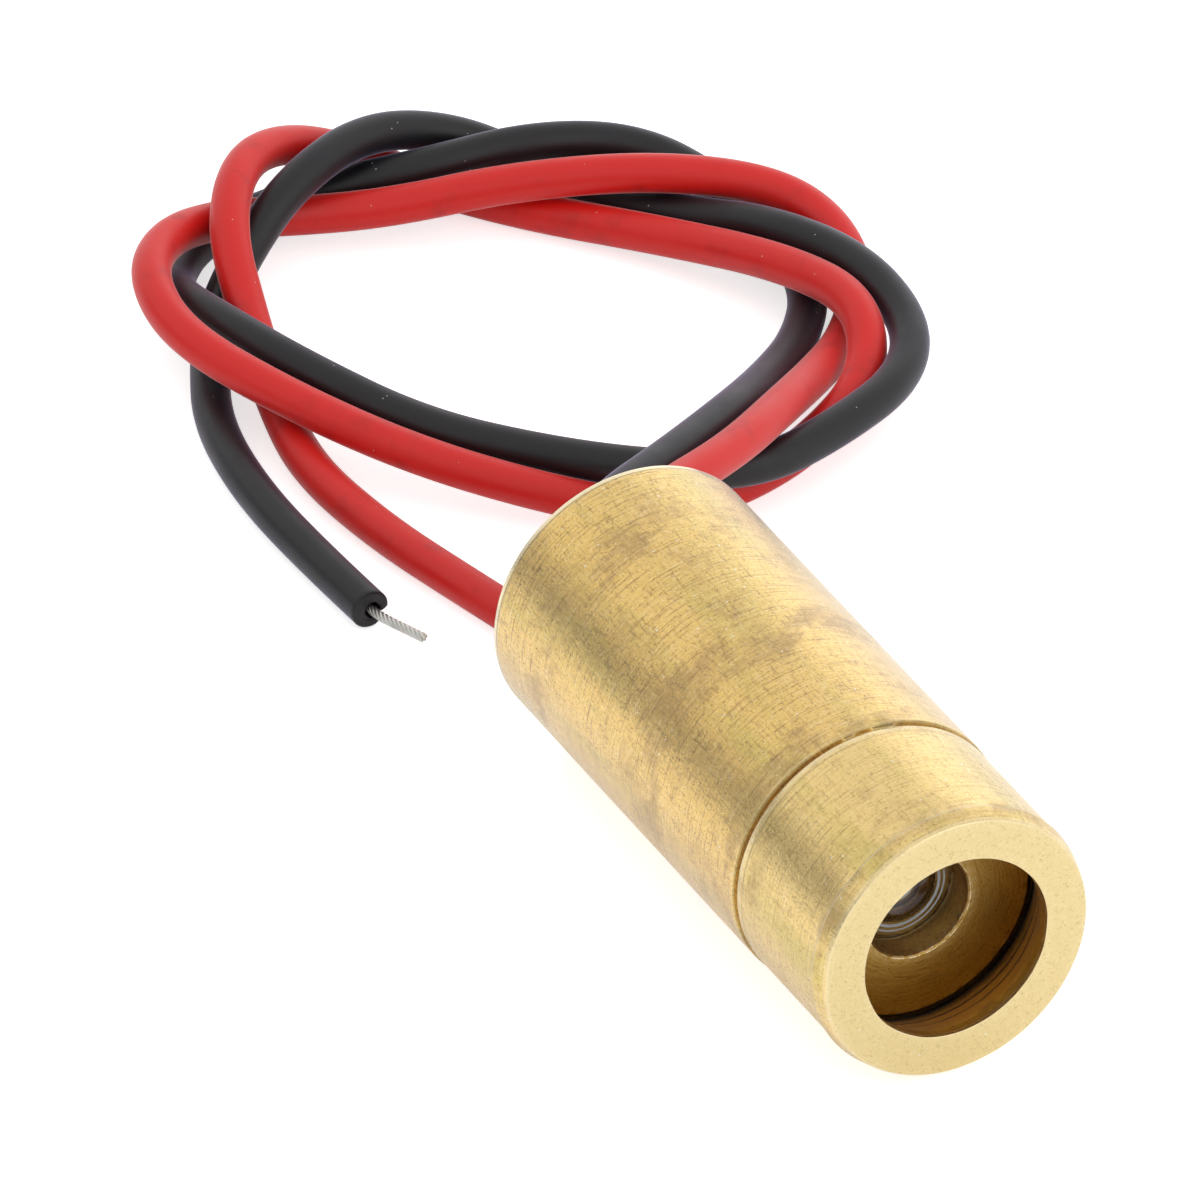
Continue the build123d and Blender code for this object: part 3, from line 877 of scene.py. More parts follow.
@dataclass
class Brasswork:
    """The turned brass body: barrel, housing and lens cell, and the lens they hold.

    Sizes and places along the axis are in millimetres.
    """

    axis_height: float = 4.5
    front: float = -10.5
    rear: float = 10.5
    seam: float = -4.95
    body_radius: float = 4.5
    waist_radius: float = 4.45
    bevel_radius: float = 4.33
    opening_radius: float = 3.03
    thread_bore: float = 3.9
    thread_radius: float = 3.85
    nose_length: float = 1.25
    nose_bore: float = 3.2
    holder_bore: float = 3.6
    holder_length: float = 3.1
    shoulder_depth: float = 4.25
    rear_bore: float = 3.75
    cell_depth: float = 2.4
    cell_radius: float = 3.7
    tail_bore: float = 3.1
    aperture_radius: float = 1.7
    lens_depth: float = 3.5
    lens_radius: float = 2.2
    lens_bore: float = 2.27
    dome_radius: float = 1.15
    dome_depth: float = 0.4
    dome_rise: float = 0.38
    edge_wear: float = 0.03

    def piece(self, node: str, slot: str, outline: Profile, **settings: object) -> TurnedPiece:
        """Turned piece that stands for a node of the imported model."""
        return TurnedPiece(f"{node}_turned", node, slot, outline, self.axis_height, **settings)

    def barrel(self) -> TurnedPiece:
        """Front barrel with its lip, waist and the bevel at the seam.

        Returns:
            The piece to turn.
        """
        soft, front, seam = self.edge_wear, self.front, self.seam
        outline = [
            (front, self.opening_radius, soft), (front, self.bevel_radius, 0.06),
            (front + 0.6, self.body_radius, 0.05), (front + 0.66, self.waist_radius, soft),
            (seam - 0.2, self.waist_radius, 0.05), (seam, self.bevel_radius, soft),
            (seam, self.thread_bore, soft), (front + self.cell_depth, self.thread_bore, soft),
            (front + 0.4, self.opening_radius, soft),
        ]
        return self.piece("front_barrel", "barrel_brass", outline, dent_depth=0.05, seed=4.0)

    def housing(self) -> TurnedPiece:
        """Rear housing with its nose, bores and the bevelled mouth.

        Returns:
            The piece to turn.
        """
        soft, seam, rear = self.edge_wear, self.seam, self.rear
        nose, shoulder = seam - self.nose_length, seam + self.shoulder_depth
        holder_end = seam + (self.shoulder_depth + self.holder_length)
        outline = [
            (nose, self.nose_bore, soft), (nose, self.thread_radius - 0.12, soft),
            (nose + 0.12, self.thread_radius, soft), (seam, self.thread_radius, soft),
            (seam, self.waist_radius, 0.01), (seam + 0.05, self.body_radius, 0.02),
            (rear - 0.15, self.body_radius, 0.03), (rear, self.body_radius - 0.15, soft),
            (rear, self.rear_bore + 0.2, soft), (rear - 0.2, self.rear_bore, soft),
            (holder_end, self.rear_bore, soft), (holder_end, self.holder_bore, soft),
            (shoulder, self.holder_bore, soft), (shoulder, self.nose_bore, soft),
        ]
        return self.piece("rear_housing", "housing_brass", outline, dent_depth=0.04, seed=9.0)

    def lens(self) -> TurnedPiece:
        """Lens with a dome in the middle of two shallow steps, and its seated edge.

        Returns:
            The piece to turn.
        """
        seat, fine, steps = self.front + self.lens_depth, 0.012, 10
        top = seat - self.dome_depth
        dome = [
            (top + self.dome_rise * (step / steps) ** 2, self.dome_radius * step / steps, 0.3)
            for step in range(1, steps)
        ]
        outline = [
            (top, 0.0, 0.0), *dome, (seat - 0.02, self.dome_radius, fine),
            (seat - 0.02, 1.24, fine), (seat - 0.05, 1.31, fine), (seat - 0.05, 1.41, fine),
            (seat - 0.07, 1.45, fine), (seat - 0.07, 1.58, fine), (seat, 1.62, fine),
            (seat, self.lens_radius, fine), (seat + 0.9, self.lens_radius, fine),
            (seat + 0.9, 1.4, fine), (seat + 1.09, 0.7, 0.3), (seat + 1.15, 0.0, 0.0),
        ]
        return self.piece("collimating_lens", "lens_glass", outline, sides=192, solid=True, longest_step=0.2)

    def cell(self) -> TurnedPiece:
        """Lens cell with its flat face, aperture, thread and tail.

        Returns:
            The piece to turn.
        """
        soft, face, rear = self.edge_wear, self.front + self.cell_depth, self.seam - 1.35
        outline = [
            (face, self.aperture_radius + 0.06, 0.02), (face, self.cell_radius, soft),
            (face + 0.3, self.cell_radius, soft), (face + 0.3, self.thread_radius, soft),
            (rear, self.thread_radius, soft), (rear, self.tail_bore, soft),
            (rear + 1.7, self.tail_bore, soft), (rear + 1.7, self.lens_bore, soft),
            (face + 1.1, self.lens_bore, soft), (face + 1.1, self.aperture_radius, soft),
            (face + 0.06, self.aperture_radius, 0.02),
        ]
        return self.piece(
            "lens_cell", "cell_brass", outline, sides=256, dent_depth=0.05, dent_scale=5.0, seed=2.0
        )


class CurveTree:
    """What the Geometry Nodes trees that work on a curve share."""

    @staticmethod
    def skin(
        nodes: Nodes, curve: Socket, sides: Value, radius: Value, capped: bool, material: Material
    ) -> Socket:
        """Cover a curve with a smooth round tube.

        Args:
            nodes: The tree's builder.
            curve: The curve.
            sides: Count of the tube's sides.
            radius: The tube's radius in metres.
            capped: Whether the tube's ends are closed.
            material: Its finish.

        Returns:
            The tube.
        """
        ring = nodes.add("GeometryNodeCurvePrimitiveCircle", {"Resolution": sides, "Radius": radius})
        form = nodes.add(
            "GeometryNodeCurveToMesh", {"Curve": curve, "Profile Curve": ring.outputs[0], "Fill Caps": capped}
        )
        for kind in ("GeometryNodeSetShadeSmooth", "GeometryNodeRealizeInstances"):
            form = nodes.add(kind, {"Geometry": form.outputs[0]})
        dressed = nodes.add("GeometryNodeSetMaterial", {"Geometry": form.outputs[0], "Material": material})
        return dressed.outputs[0]


@dataclass
class TubeTree(CurveTree):
    """Geometry Nodes that turn a route into a tube of slightly uneven thickness."""

    step: float = 0.12 * MM
    sides: int = 32
    unevenness: float = 0.02
    swell_scale: float = 180.0
    seed: int = 7

    def tree(self, radius: float, material: Material) -> bpy.types.NodeTree:
        """Build the tree.

        Args:
            radius: Radius of the tube in metres.
            material: Finish of the tube.

        Returns:
            The tree, with its sizes as inputs.
        """
        sizes = {
            "Geometry": None, "Radius": radius, "Step": self.step, "Unevenness": self.unevenness,
            "Sides": self.sides,
        }
        nodes, start, end = Nodes.group("lead_tube", "Geometry", sizes, {"Geometry": None})
        inputs = {"Curve": start.outputs["Geometry"], "Length": start.outputs["Step"]}
        resampled = nodes.add("GeometryNodeResampleCurve", inputs, mode="LENGTH")
        place = nodes.add("GeometryNodeInputPosition").outputs[0]
        inputs = {"Vector": place, "Scale": self.swell_scale, "W": self.seed}
        value = nodes.add("ShaderNodeTexNoise", inputs, noise_dimensions="4D").outputs[0]
        swell = nodes.product(nodes.math("SUBTRACT", value, 0.5), start.outputs["Unevenness"])
        inputs = {"Curve": resampled.outputs[0], "Radius": nodes.total(swell, 1.0)}
        sized = nodes.add("GeometryNodeSetCurveRadius", inputs).outputs[0]
        sides, size = start.outputs["Sides"], start.outputs["Radius"]
        nodes.fill(end, Geometry=self.skin(nodes, sized, sides, size, False, material))
        return nodes.tree


@dataclass
class StrandTree(CurveTree):
    """Geometry Nodes that twist several fine strands round a path."""

    strands: int = 7
    strand_radius: float = 0.055 * MM
    bundle_radius: float = 0.1 * MM
    turns: float = 2.2
    steps: int = 48
    sides: int = 10

    def tree(self, material: Material) -> bpy.types.NodeTree:
        """Build the tree with its sizes as inputs.

        Args:
            material: Finish of the strands.

        Returns:
            The tree.
        """
        sizes = {
            "Geometry": None, "Strand Radius": self.strand_radius, "Bundle Radius": self.bundle_radius,
            "Turns": self.turns, "Strands": self.strands,
        }
        nodes, start, end = Nodes.group("twisted_strands", "Geometry", sizes, {"Geometry": None})
        inputs = {"Curve": start.outputs["Geometry"], "Count": self.steps}
        resampled = nodes.add("GeometryNodeResampleCurve", inputs)
        inputs = {"Geometry": resampled.outputs[0], "Amount": start.outputs["Strands"]}
        copies = nodes.add("GeometryNodeDuplicateElements", inputs, domain="SPLINE")
        inputs = {"Geometry": copies.outputs[0], "Name": "strand", "Value": copies.outputs["Duplicate Index"]}
        named = nodes.add("GeometryNodeStoreNamedAttribute", inputs, data_type="FLOAT", domain="CURVE")
        index = nodes.add("GeometryNodeInputNamedAttribute", {"Name": "strand"}, data_type="FLOAT").outputs[0]
        share = nodes.math("DIVIDE", index, nodes.math("SUBTRACT", start.outputs["Strands"], 1.0))
        along = nodes.add("GeometryNodeSplineParameter").outputs["Factor"]
        turned = nodes.total(share, nodes.product(along, start.outputs["Turns"]))
        angle = nodes.product(turned, 2 * math.pi)
        outer = nodes.product(nodes.math("GREATER_THAN", index, 0.5), start.outputs["Bundle Radius"])
        normal = nodes.add("GeometryNodeInputNormal").outputs[0]
        side = nodes.vector("CROSS_PRODUCT", nodes.add("GeometryNodeInputTangent").outputs[0], normal)
        reaches = []
        for axis, wave in ((normal, "COSINE"), (side, "SINE")):
            inputs = {0: axis, "Scale": nodes.product(outer, nodes.math(wave, angle))}
            reaches.append(nodes.add("ShaderNodeVectorMath", inputs, operation="SCALE").outputs[0])
        inputs = {"Geometry": named.outputs[0], "Offset": nodes.vector("ADD", *reaches)}
        moved = nodes.add("GeometryNodeSetPosition", inputs).outputs[0]
        size = start.outputs["Strand Radius"]
        nodes.fill(end, Geometry=self.skin(nodes, moved, self.sides, size, True, material))
        return nodes.tree


def frozen(name: str, source: Object, tree: bpy.types.NodeTree) -> Object:
    """Run a Geometry Nodes tree on an object and keep the result as a plain mesh.

    Args:
        name: Name of the new piece.
        source: The object that the tree works on. It is removed afterwards.
        tree: The tree.

    Returns:
        The new piece.
    """
    modifier = source.modifiers.new("shape", "NODES")
    modifier.node_group = tree
    view = bpy.context.evaluated_depsgraph_get()
    view.update()
    mesh = bpy.data.meshes.new_from_object(source.evaluated_get(view), depsgraph=view)
    mesh.name = name
    source.modifiers.remove(modifier)
    bpy.data.objects.remove(source)
    piece = bpy.data.objects.new(name, mesh)
    bpy.context.collection.objects.link(piece)
    return piece


def route_object(name: str, points: list[Point]) -> Object:
    """Make an open NURBS curve.

    Args:
        name: Its name.
        points: Its control points in millimetres.

    Returns:
        The curve.
    """
    curve = bpy.data.curves.new(name, "CURVE")
    curve.dimensions = "3D"
    spline = curve.splines.new("NURBS")
    spline.points.add(len(points) - 1)
    for control, point in zip(spline.points, metres(points)):
        control.co = (*point, 1.0)
    spline.order_u = 3
    spline.use_endpoint_u = True
    curve.resolution_u = 16
    route = bpy.data.objects.new(name, curve)
    bpy.context.collection.objects.link(route)
    return route


def route_line(route: Object) -> list[Vector]:
    """Follow a route's own smooth line.

    Args:
        route: The route.

    Returns:
        Points on the line in metres, from its first end.
    """
    mesh = bpy.data.meshes.new_from_object(route)
    line = [vertex.co.copy() for vertex in mesh.vertices]
    bpy.data.meshes.remove(mesh)
    return line


@dataclass
class Lead:
    """One soft lead: its tube on the real route, its cut end and the bared strands.

    Sizes are in millimetres, and the length is in metres. The rings of the lip are (share of the
    tube's radius, height, share of the hole's shift to one side).
    """

    colour: str
    points: list[Point]
    tip: list[Point]
    length: float
    radius: float = 0.625
    lip_rings: tuple[Point, ...] = ((0.97, 0.03, 0), (0.88, 0.05, 0), (0.62, 0.045, 0.5), (0.45, 0.01, 1))
    hole_radius: float = 0.2
    hole_depth: float = 0.5
    hole_shift: float = 0.12
    gouge_length: float = 0.9
    gouge_depth: float = 0.3
    gouge_spread: float = 0.5
    gouge_side: Point = (0.6, -0.2, -0.4)
    end_reach: float = 2.5
    slack: float = 0.01

    def tube(self, material: Material) -> tuple[Object, list[Vector]]:
        """Make the tube with its closed root and its cut end.

        Args:
            material: Finish of the insulation.

        Returns:
            The tube and the line that it follows.
        """
        route = route_object(f"{self.colour}_route", self.points)
        line = route_line(route)
        piece = frozen(f"{self.colour}_lead", route, TubeTree().tree(self.radius * MM, material))
        self.finish_ends(piece, line)
        return piece, line

    def finish_ends(self, piece: Object, line: list[Vector]) -> None:
        """Gouge the insulation at the cut end and close both ends.

        Args:
            piece: The tube.
            line: The line that it follows.
        """
        form = bmesh.new()
        form.from_mesh(piece.data)
        end, direction = line[-1], (line[-1] - line[-2]).normalized()
        side = Vector(self.gouge_side)
        side = (side - direction * side.dot(direction)).normalized()
        self.gouge(form, end, direction, side)
        for loop in self.loops(form):
            middle = sum((vertex.co for vertex in loop), Vector()) / len(loop)
            at_end = (middle - end).length < self.radius * MM
            self.close(form, loop, self.lip(loop, middle, direction, side) if at_end else [])
        bmesh.ops.recalc_face_normals(form, faces=form.faces)
        form.to_mesh(piece.data)
        form.free()

    def gouge(self, form: Form, end: Vector, direction: Vector, side: Vector) -> None:
        """Press the tool's mark into one side of the cut end.

        Args:
            form: The tube's mesh.
            end: Middle of the cut end.
            direction: Way that the tube points there.
            side: Way from its middle to the gouge.
        """
        for vertex in form.verts:
            back = (end - vertex.co).dot(direction)
            offset = vertex.co - end + direction * back
            near = (vertex.co - end).length < self.end_reach * MM
            if near and -self.slack * MM < back < self.gouge_length * MM and offset.length > 0:
                spread = max(0.0, 1 - offset.angle(side) / self.gouge_spread)
                depth = spread * (1 - back / (self.gouge_length * MM)) * self.gouge_depth
                vertex.co -= offset.normalized() * depth * MM

    @staticmethod
    def loops(form: Form) -> list[Loop]:
        """Find the open ends.

        Args:
            form: The tube's mesh.

        Returns:
            Vertices of each end, in order round it.
        """
        left = [edge for edge in form.edges if edge.is_boundary]
        result = []
        while left:
            loop = list(left.pop().verts)
            while True:
                following = next((edge for edge in loop[-1].link_edges if edge in left), None)
                if following is None:
                    break
                left.remove(following)
                vertex = following.other_vert(loop[-1])
                if vertex is loop[0]:
                    break
                loop.append(vertex)
            result.append(loop)
        return result

    def lip(self, loop: Loop, middle: Vector, outward: Vector, side: Vector) -> list[list[Vector]]:
        """Lead from the cut end over its lip into the strands' hole.

        Args:
            loop: Vertices round the cut end.
            middle: Middle of the cut end.
            outward: Way that the tube points there.
            side: Way from its middle to the gouge.

        Returns:
            Places of each ring, from the cut end inwards.
        """
        centre = middle + side * self.hole_shift * MM
        rings = [
            [
                middle.lerp(centre, shift) + (vertex.co - middle) * share + outward * height * MM
                for vertex in loop
            ]
            for share, height, shift in self.lip_rings
        ]
        hole, bottom = self.hole_radius / self.radius, centre - outward * self.hole_depth * MM
        rings.append([bottom + (vertex.co - middle) * hole for vertex in loop])
        return rings

    @staticmethod
    def close(form: Form, loop: Loop, rings: list[list[Vector]]) -> None:
        """Close an open end over a series of rings.

        Args:
            form: The tube's mesh.
            loop: Vertices round the open end.
            rings: Places of each ring, from the end inwards.
        """
        current = loop
        for ring in rings:
            fresh = [form.verts.new(place) for place in ring]
            for index in range(len(loop)):
                following = (index + 1) % len(loop)
                form.faces.new((current[index], current[following], fresh[following], fresh[index]))
            current = fresh
        form.faces.new(current)

    def strands(self, material: Material) -> Object:
        """Make the twisted strands that stand out of the cut end."""
        path = route_object(f"{self.colour}_strand_path", self.tip)
        return frozen(f"{self.colour}_strands", path, StrandTree().tree(material))


RED_ROUTE: list[Point] = [
    (0.9, 9.7, 5.4), (0.9, 12.0, 5.4), (2.9, 14.2, 4.9), (6.8, 16.6, 3.95),
    (10.2, 19.6, 2.9), (12.9, 22.6, 1.4), (15.1, 24.8, 0.65), (16.8, 26.9, 0.7),
    (17.4, 29.5, 1.5), (16.4, 31.8, 2.1), (13.3, 33.9, 2.35), (9.3, 35.7, 2.1),
    (5.6, 37.1, 1.4), (2.9, 38.3, 1.2), (0.5, 38.4, 1.8), (-2.0, 37.4, 2.5),
    (-3.9, 35.1, 2.9), (-4.3, 31.9, 2.6), (-2.6, 28.0, 2.1), (-0.3, 24.2, 1.6),
    (2.5, 21.0, 1.2), (5.3, 19.2, 0.65), (8.3, 19.1, 0.65), (11.4, 20.1, 0.75),
    (14.3, 21.6, 1.5), (15.5, 24.4, 2.3), (14.7, 28.0, 1.9), (12.6, 32.2, 1.1),
    (9.9, 35.9, 0.65), (7.7, 38.9, 0.65), (5.8, 40.3, 1.6), (3.4, 40.3, 2.7),
    (1.1, 38.7, 3.4), (-0.6, 36.1, 2.9), (-1.2, 33.3, 1.5), (-2.0, 30.0, 0.65),
    (-2.8, 26.2, 0.65), (-2.4, 22.1, 0.65), (-1.5, 18.3, 0.65), (-0.5, 14.4, 0.65),
]
BLACK_ROUTE: list[Point] = [
    (-0.9, 9.7, 5.4), (-0.9, 11.9, 5.4), (1.4, 14.75, 4.8), (5.2, 17.4, 3.85),
    (8.8, 20.2, 2.85), (11.4, 22.95, 1.5), (13.8, 25.3, 0.8), (15.6, 27.9, 0.65),
    (16.1, 31.1, 0.65), (15.7, 34.0, 0.9), (14.0, 36.3, 1.8), (10.8, 37.3, 2.3),
    (7.1, 38.0, 1.9), (4.3, 39.3, 1.2), (2.0, 39.8, 0.65), (-0.2, 39.1, 0.65),
    (-1.8, 37.4, 0.8), (-2.7, 35.2, 1.7), (-2.6, 32.5, 2.3), (-1.5, 29.1, 2.2),
    (0.7, 25.3, 1.6), (3.5, 22.0, 1.6), (5.9, 19.1, 2.07), (8.7, 18.1, 1.9),
    (11.8, 19.0, 1.9), (14.9, 20.5, 1.9), (16.6, 23.1, 1.9), (16.6, 26.6, 2.2),
    (15.3, 29.9, 2.0), (13.9, 32.8, 1.1), (12.3, 35.5, 0.65), (11.1, 37.8, 0.9),
    (9.0, 39.5, 1.9), (5.9, 39.4, 2.9), (2.6, 37.8, 2.9), (0.3, 36.6, 1.7),
    (-1.6, 35.0, 0.65), (-2.9, 32.7, 0.65), (-4.2, 29.9, 0.65), (-4.8, 26.6, 0.65),
    (-4.9, 22.8, 0.65), (-4.6, 18.4, 0.65),
]
RED_TIP: list[Point] = [(-0.56, 14.7, 0.62), (-0.45, 13.9, 0.62), (-0.3, 13.1, 0.6), (-0.2, 12.25, 0.55)]
BLACK_TIP: list[Point] = [(-4.55, 18.7, 0.58), (-4.5, 18.1, 0.58), (-4.2, 17.2, 0.62), (-3.86, 16.25, 0.65)]


@dataclass
class Harness:
    """The two leads with their strands."""

    leads: tuple[Lead, ...] = (
        Lead("red", RED_ROUTE, RED_TIP, 0.1349), Lead("black", BLACK_ROUTE, BLACK_TIP, 0.1339),
    )

    def build(self, finishes: dict[str, Material]) -> None:
        """Args:
            finishes: Materials by the record's slot names.
        """
        for lead in self.leads:
            colour = lead.colour
            tube, line = lead.tube(finishes[f"{colour}_insulation"])
            strands = lead.strands(finishes[f"{colour}_strands"])
            for piece, node, slot in (
                (tube, f"{colour}_wire", f"{colour}_insulation"),
                (strands, f"{colour}_wire_tip", f"{colour}_strands"),
            ):
                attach(piece, BODY)
                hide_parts(node)
            LOG.info("%s lead: %d points on its line, %d faces", colour, len(line), len(tube.data.polygons))


@dataclass(frozen=True)
class Lamp:
    """A square soft lamp: its place and side in metres and its power in watts."""

    name: str
    place: Point
    side: float
    power: float

    def build(self, target: Vector) -> None:
        """Hang the lamp and point it at a target.

        Args:
            target: What it points at, in metres.
        """
        data = bpy.data.lights.new(self.name, "AREA")
        data.shape, data.size, data.energy = "SQUARE", self.side, self.power
        lamp = bpy.data.objects.new(self.name, data)
        lamp.location = self.place
        lamp.rotation_mode = "QUATERNION"
        lamp.rotation_quaternion = (target - Vector(self.place)).to_track_quat("-Z", "Y")
        bpy.context.collection.objects.link(lamp)


@dataclass
class Studio:
    """Pale floor, soft light and the camera at the photograph's angle.

    Angles are in degrees, the target is in millimetres, and the camera's distance and the floor's
    size are in metres.
    """

    azimuth: float = -27.46
    elevation: float = 33.88
    distance: float = 0.6
    target: Point = (-6.304, 0.0, 12.473)
    lens: float = 614.4
    floor_size: float = 3.0
    floor_colour: Colour = (0.93, 0.93, 0.93, 1.0)
    seen_glow: float = 0.65
    mirrored_glow: float = 0.27
    left_shade: float = 0.95
    top_shade: float = 0.15
    lamps: tuple[Lamp, ...] = (
        Lamp("key_softbox", (0.42, 0.4, 0.2), 0.4, 0.2), Lamp("fill_softbox", (0.2, -0.45, 0.4), 0.5, 0.4),
    )

    def camera(self) -> None:
        """Make the camera."""
        data = bpy.data.cameras.new("camera")
        data.sensor_width = 36.0
        data.lens = self.lens
        data.clip_start, data.clip_end = 0.01, 20.0
        camera = bpy.data.objects.new("camera", data)
        turn, rise = math.radians(self.azimuth), math.radians(self.elevation)
        back = Vector((
            math.sin(turn) * math.cos(rise), -math.cos(turn) * math.cos(rise), math.sin(rise),
        ))
        camera.location = Vector(self.target) * MM + back * self.distance
        camera.rotation_mode = "QUATERNION"
        camera.rotation_quaternion = (-back).to_track_quat("-Z", "Y")
        bpy.context.collection.objects.link(camera)
        bpy.context.scene.camera = camera

    def floor(self) -> None:
        """Make the pale floor, which shows white and keeps a faint shadow."""
        mesh = bpy.data.meshes.new("floor")
        half = self.floor_size / 2
        corners = [(-half, -half, 0), (half, -half, 0), (half, half, 0), (-half, half, 0)]
        mesh.from_pydata(corners, [], [(0, 1, 2, 3)])
        floor = bpy.data.objects.new("floor", mesh)
        bpy.context.collection.objects.link(floor)
        material = bpy.data.materials.new("floor_white")
        material.use_nodes = True
        nodes = Nodes(material.node_tree)
        nodes.tree.nodes.clear()
        matte = nodes.add("ShaderNodeBsdfDiffuse", {"Color": self.floor_colour})
        seen = nodes.add("ShaderNodeLightPath")
        direct = nodes.total(
            nodes.product(seen.outputs["Is Camera Ray"], self.seen_glow),
            nodes.product(seen.outputs["Is Glossy Ray"], self.mirrored_glow),
        )
        glow = nodes.add("ShaderNodeEmission", {"Color": (1, 1, 1, 1), "Strength": direct})
        both = nodes.add("ShaderNodeAddShader", {0: matte.outputs[0], 1: glow.outputs[0]})
        nodes.add("ShaderNodeOutputMaterial", {"Surface": both.outputs[0]})
        mesh.materials.append(material)

    def world(self) -> None:
        """Make the world: white where it is seen, softly graded where it lights and mirrors."""
        world = bpy.data.worlds.new("studio")
        world.use_nodes = True
        nodes = Nodes(world.node_tree)
        nodes.tree.nodes.clear()
        seen = nodes.add("ShaderNodeLightPath")
        direction = nodes.add("ShaderNodeTexCoord").outputs["Generated"]
        parts = nodes.add("ShaderNodeSeparateXYZ", {0: direction}).outputs
        left = nodes.ramp(parts["X"], -0.1, -0.6)
        low = nodes.ramp(parts["Z"], 0.36, 0.22)
        dark = nodes.product(left, low, self.left_shade)
        dim = nodes.total(dark, nodes.ramp(parts["Z"], 0.3, 0.8, 0.0, self.top_shade))
        graded = nodes.math("SUBTRACT", 1.0, dim)
        strength = nodes.math("MAXIMUM", graded, seen.outputs["Is Camera Ray"])
        background = nodes.add("ShaderNodeBackground", {"Color": (1, 1, 1, 1), "Strength": strength})
        nodes.add("ShaderNodeOutputWorld", {"Surface": background.outputs[0]})
        bpy.context.scene.world = world

    def build(self) -> None:
        """Set up everything that isn't the object."""
        self.camera()
        self.floor()
        self.world()
        for lamp in self.lamps:
            lamp.build(Vector(self.target) * MM)
        bpy.context.scene.view_settings.view_transform = "Standard"


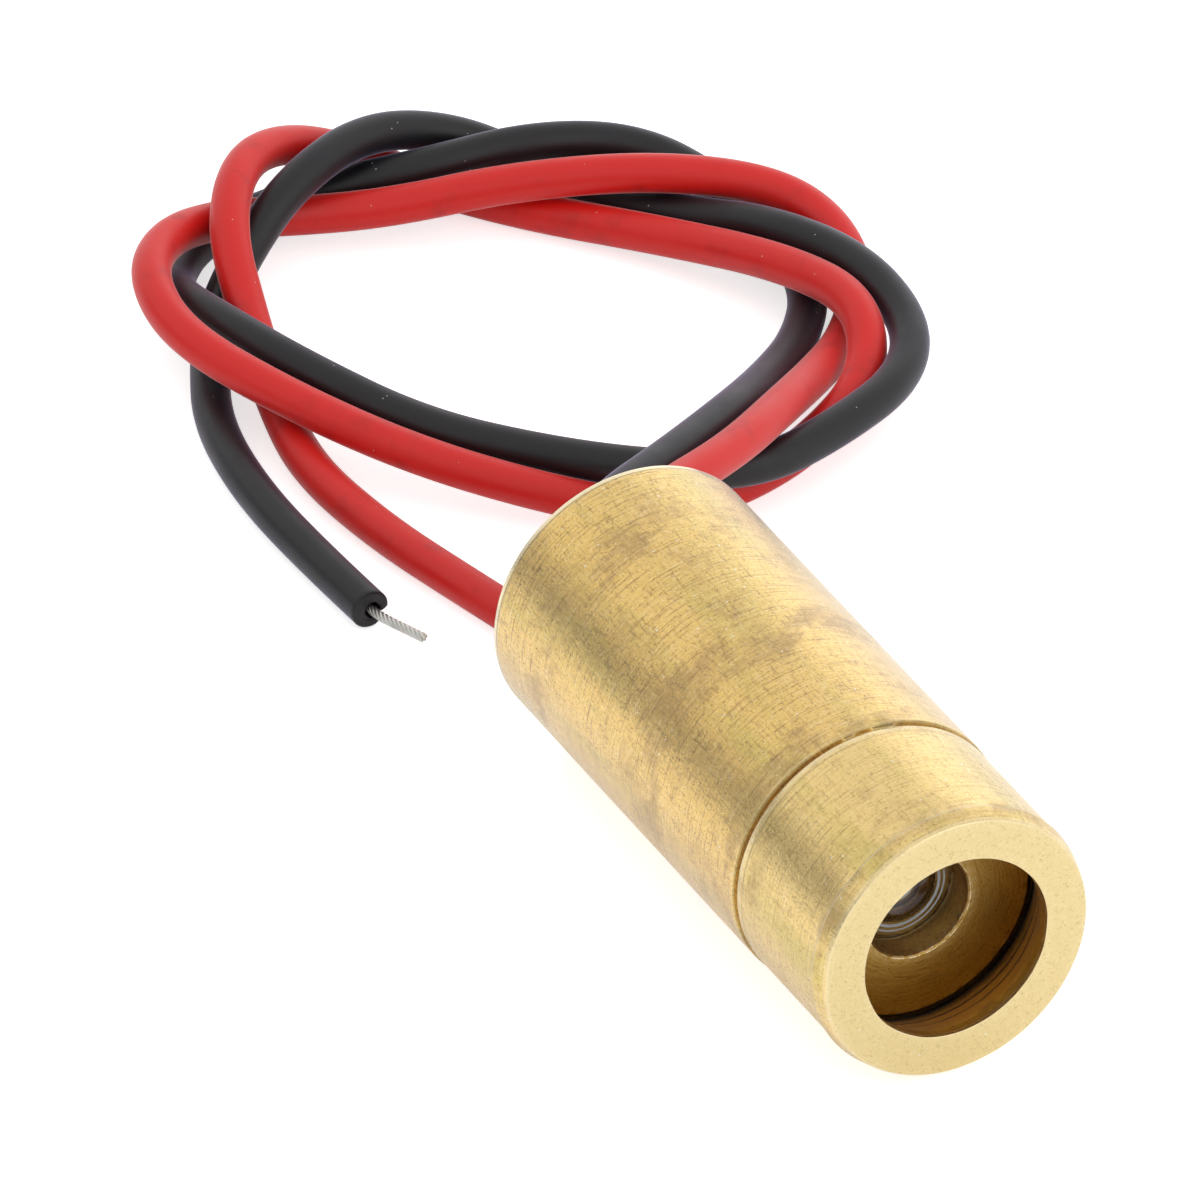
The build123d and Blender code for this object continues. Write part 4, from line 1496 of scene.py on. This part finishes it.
def finishes() -> dict[str, Material]:
    """Build every material.

    Returns:
        Materials by the record's slot names.
    """
    red = srgb(220, 24, 18), srgb(228, 44, 38), srgb(150, 16, 14)
    black = srgb(15, 14, 18), srgb(26, 24, 30), srgb(10, 9, 11)
    tin = srgb(214, 212, 206), srgb(150, 148, 142)
    gold = srgb(226, 190, 112), srgb(190, 150, 84)
    steel, steel_stain = srgb(196, 196, 192), srgb(140, 138, 132)
    hidden = {"face_end": -20.0, "sheen": 0.0}
    makers = (
        BrassFinish(
            # shade: painted shade colour of the bore
            "barrel_brass", base=srgb(245, 212, 134), shade=srgb(222, 180, 82), shift=2.0, stain_share=0.4,
            hatch_share=0.4, grain_share=0.6, sheen=0.05,
            # Ring(-8.1) is painted shade where the bore meets the cell's face; the other two are tool rings
            bore_rings=(Ring(-8.1, 0.1, 1.0), Ring(-8.8, 0.06, 1.0), Ring(-9.35, 0.05, 0.9)),
            stain_rings=(Ring(-9.95, 0.3, 0.12),),
            # Ring(-4.96) is painted shade in the seam; the other two are dark lines
            dark_rings=(Ring(-4.96, 0.015, 0.3), Ring(-5.42, 0.025, 0.35), Ring(-9.86, 0.03, 0.5)),
            # painted highlights on the seam bevel and at the lip
            painted_highlight_rings=(Ring(-5.2, 0.1, 0.35), Ring(-10.4, 0.04, 0.3)),
        ),
        BrassFinish(
            "housing_brass", bore_start=-10.6, face_end=-20.0, hatch_share=0.6,
            stain_rings=(Ring(0.7, 1.1, 0.12), Ring(7.6, 0.9, 0.1), Ring(-4.6, 0.5, 0.1)),
            # Ring(-4.94) is painted shade in the seam
            dark_rings=(Ring(-4.94, 0.02, 0.45), Ring(10.17, 0.02, 0.7)),
            # painted highlight on the rear chamfer
            painted_highlight_rings=(Ring(10.3, 0.09, 0.85),),
        ),
        # the lens cell lies deep in the barrel and takes the painted shade colour all over, less dark in its
        # throat
        BrassFinish(
            # painted shade in the gap beyond the cell's rim at 3.63
            # pale bore edges, partly worn and partly painted highlight
            "cell_brass", shade=srgb(184, 151, 82), shift=5.0, bore_edge_wear_and_highlight=0.9, shaded_rim_radius=3.63, **hidden
        ),
        BrassFinish("ring_brass", shade=srgb(110, 86, 46), shift=6.0, **hidden),
        BrassFinish("holder_brass", shade=srgb(180, 146, 84), shift=7.0, **hidden),
        InsulationFinish("red_insulation", *red, sheen_tint=srgb(255, 200, 200)),
        InsulationFinish("black_insulation", *black, sheen=0.85, sheen_tint=srgb(210, 206, 240), dust=0.012),
        InsulationFinish("red_root", *red),
        InsulationFinish("black_root", *black),
        GlassFinish("lens_glass", srgb(200, 205, 202), srgb(216, 220, 232), clear_radius=1.46),
        GlassFinish("window_glass", srgb(235, 245, 240), srgb(200, 220, 230), index=1.5),
        MottledFinish("seal_glass", srgb(70, 92, 80), srgb(52, 70, 62), roughness=0.15, relief=0.05),
        MetalFinish("red_strands", *tin),
        MetalFinish("black_strands", *tin),
        MetalFinish("core_strands", *tin),
        MetalFinish("solder", srgb(205, 206, 208), srgb(160, 160, 158), roughness=0.22),
        MetalFinish("spring_steel", steel, steel_stain, roughness=0.28),
        MetalFinish("cap_steel", srgb(210, 208, 200), steel_stain, roughness=0.22),
        MetalFinish("base_steel", *gold),
        MetalFinish("pin_gold", *gold, roughness=0.25),
        MetalFinish("block_copper", srgb(206, 132, 96), srgb(160, 96, 66)),
        MetalFinish("chip_die", srgb(96, 94, 104), srgb(70, 68, 80), roughness=0.12),
        MetalFinish("sensor_die", srgb(60, 64, 84), srgb(44, 46, 66), roughness=0.15),
        MottledFinish("board_laminate", srgb(24, 92, 52), srgb(18, 74, 42), roughness=0.35),
        MottledFinish("transistor_mould", srgb(38, 38, 40), srgb(28, 28, 30), roughness=0.55),
        MottledFinish("resistor_body", srgb(44, 44, 48), srgb(30, 30, 34), roughness=0.3),
        MottledFinish("capacitor_body", srgb(176, 140, 100), srgb(150, 118, 84), roughness=0.45),
        MottledFinish("trimmer_body", srgb(216, 212, 200), srgb(190, 186, 172), roughness=0.4),
        MottledFinish(
            "potting_resin", srgb(34, 34, 36), srgb(26, 26, 28), roughness=0.16, scale=900.0, relief=0.35
        ),
    )
    return {maker.name: maker.material() for maker in makers}


def dress_nodes(frame: dict, materials: dict[str, Material]) -> None:
    """Give each CAD node the finish of its slot.

    Args:
        materials: Materials by slot name.
    """
    for part in frame["record"]["subparts"]:
        node = frame["nodes"].get(part["node"])
        if node is None:
            continue
        material = materials[part["material_slot"]]
        for index in range(len(node.material_slots)):
            node.material_slots[index].material = material
        if not node.material_slots:
            node.data.materials.append(material)


def main() -> None:
    """Build the module's looks in order, and log the point and face counts of the new pieces."""
    logging.basicConfig(level=logging.INFO, format="%(name)s: %(message)s")
    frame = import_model()
    Studio().build()
    brass = Brasswork()
    EffectLibrary(brass.axis_height * MM).build()
    materials = finishes()
    dress_nodes(frame, materials)
    Harness().build(materials)
    for turned in (brass.housing(), brass.barrel(), brass.cell(), brass.lens()):
        piece = turned.build()
        piece.data.materials.append(materials[turned.slot])
        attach(piece, BODY)
        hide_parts(turned.node)
        LOG.info("%s: %d faces", piece.name, len(piece.data.polygons))


if __name__ == "__main__":
    main()
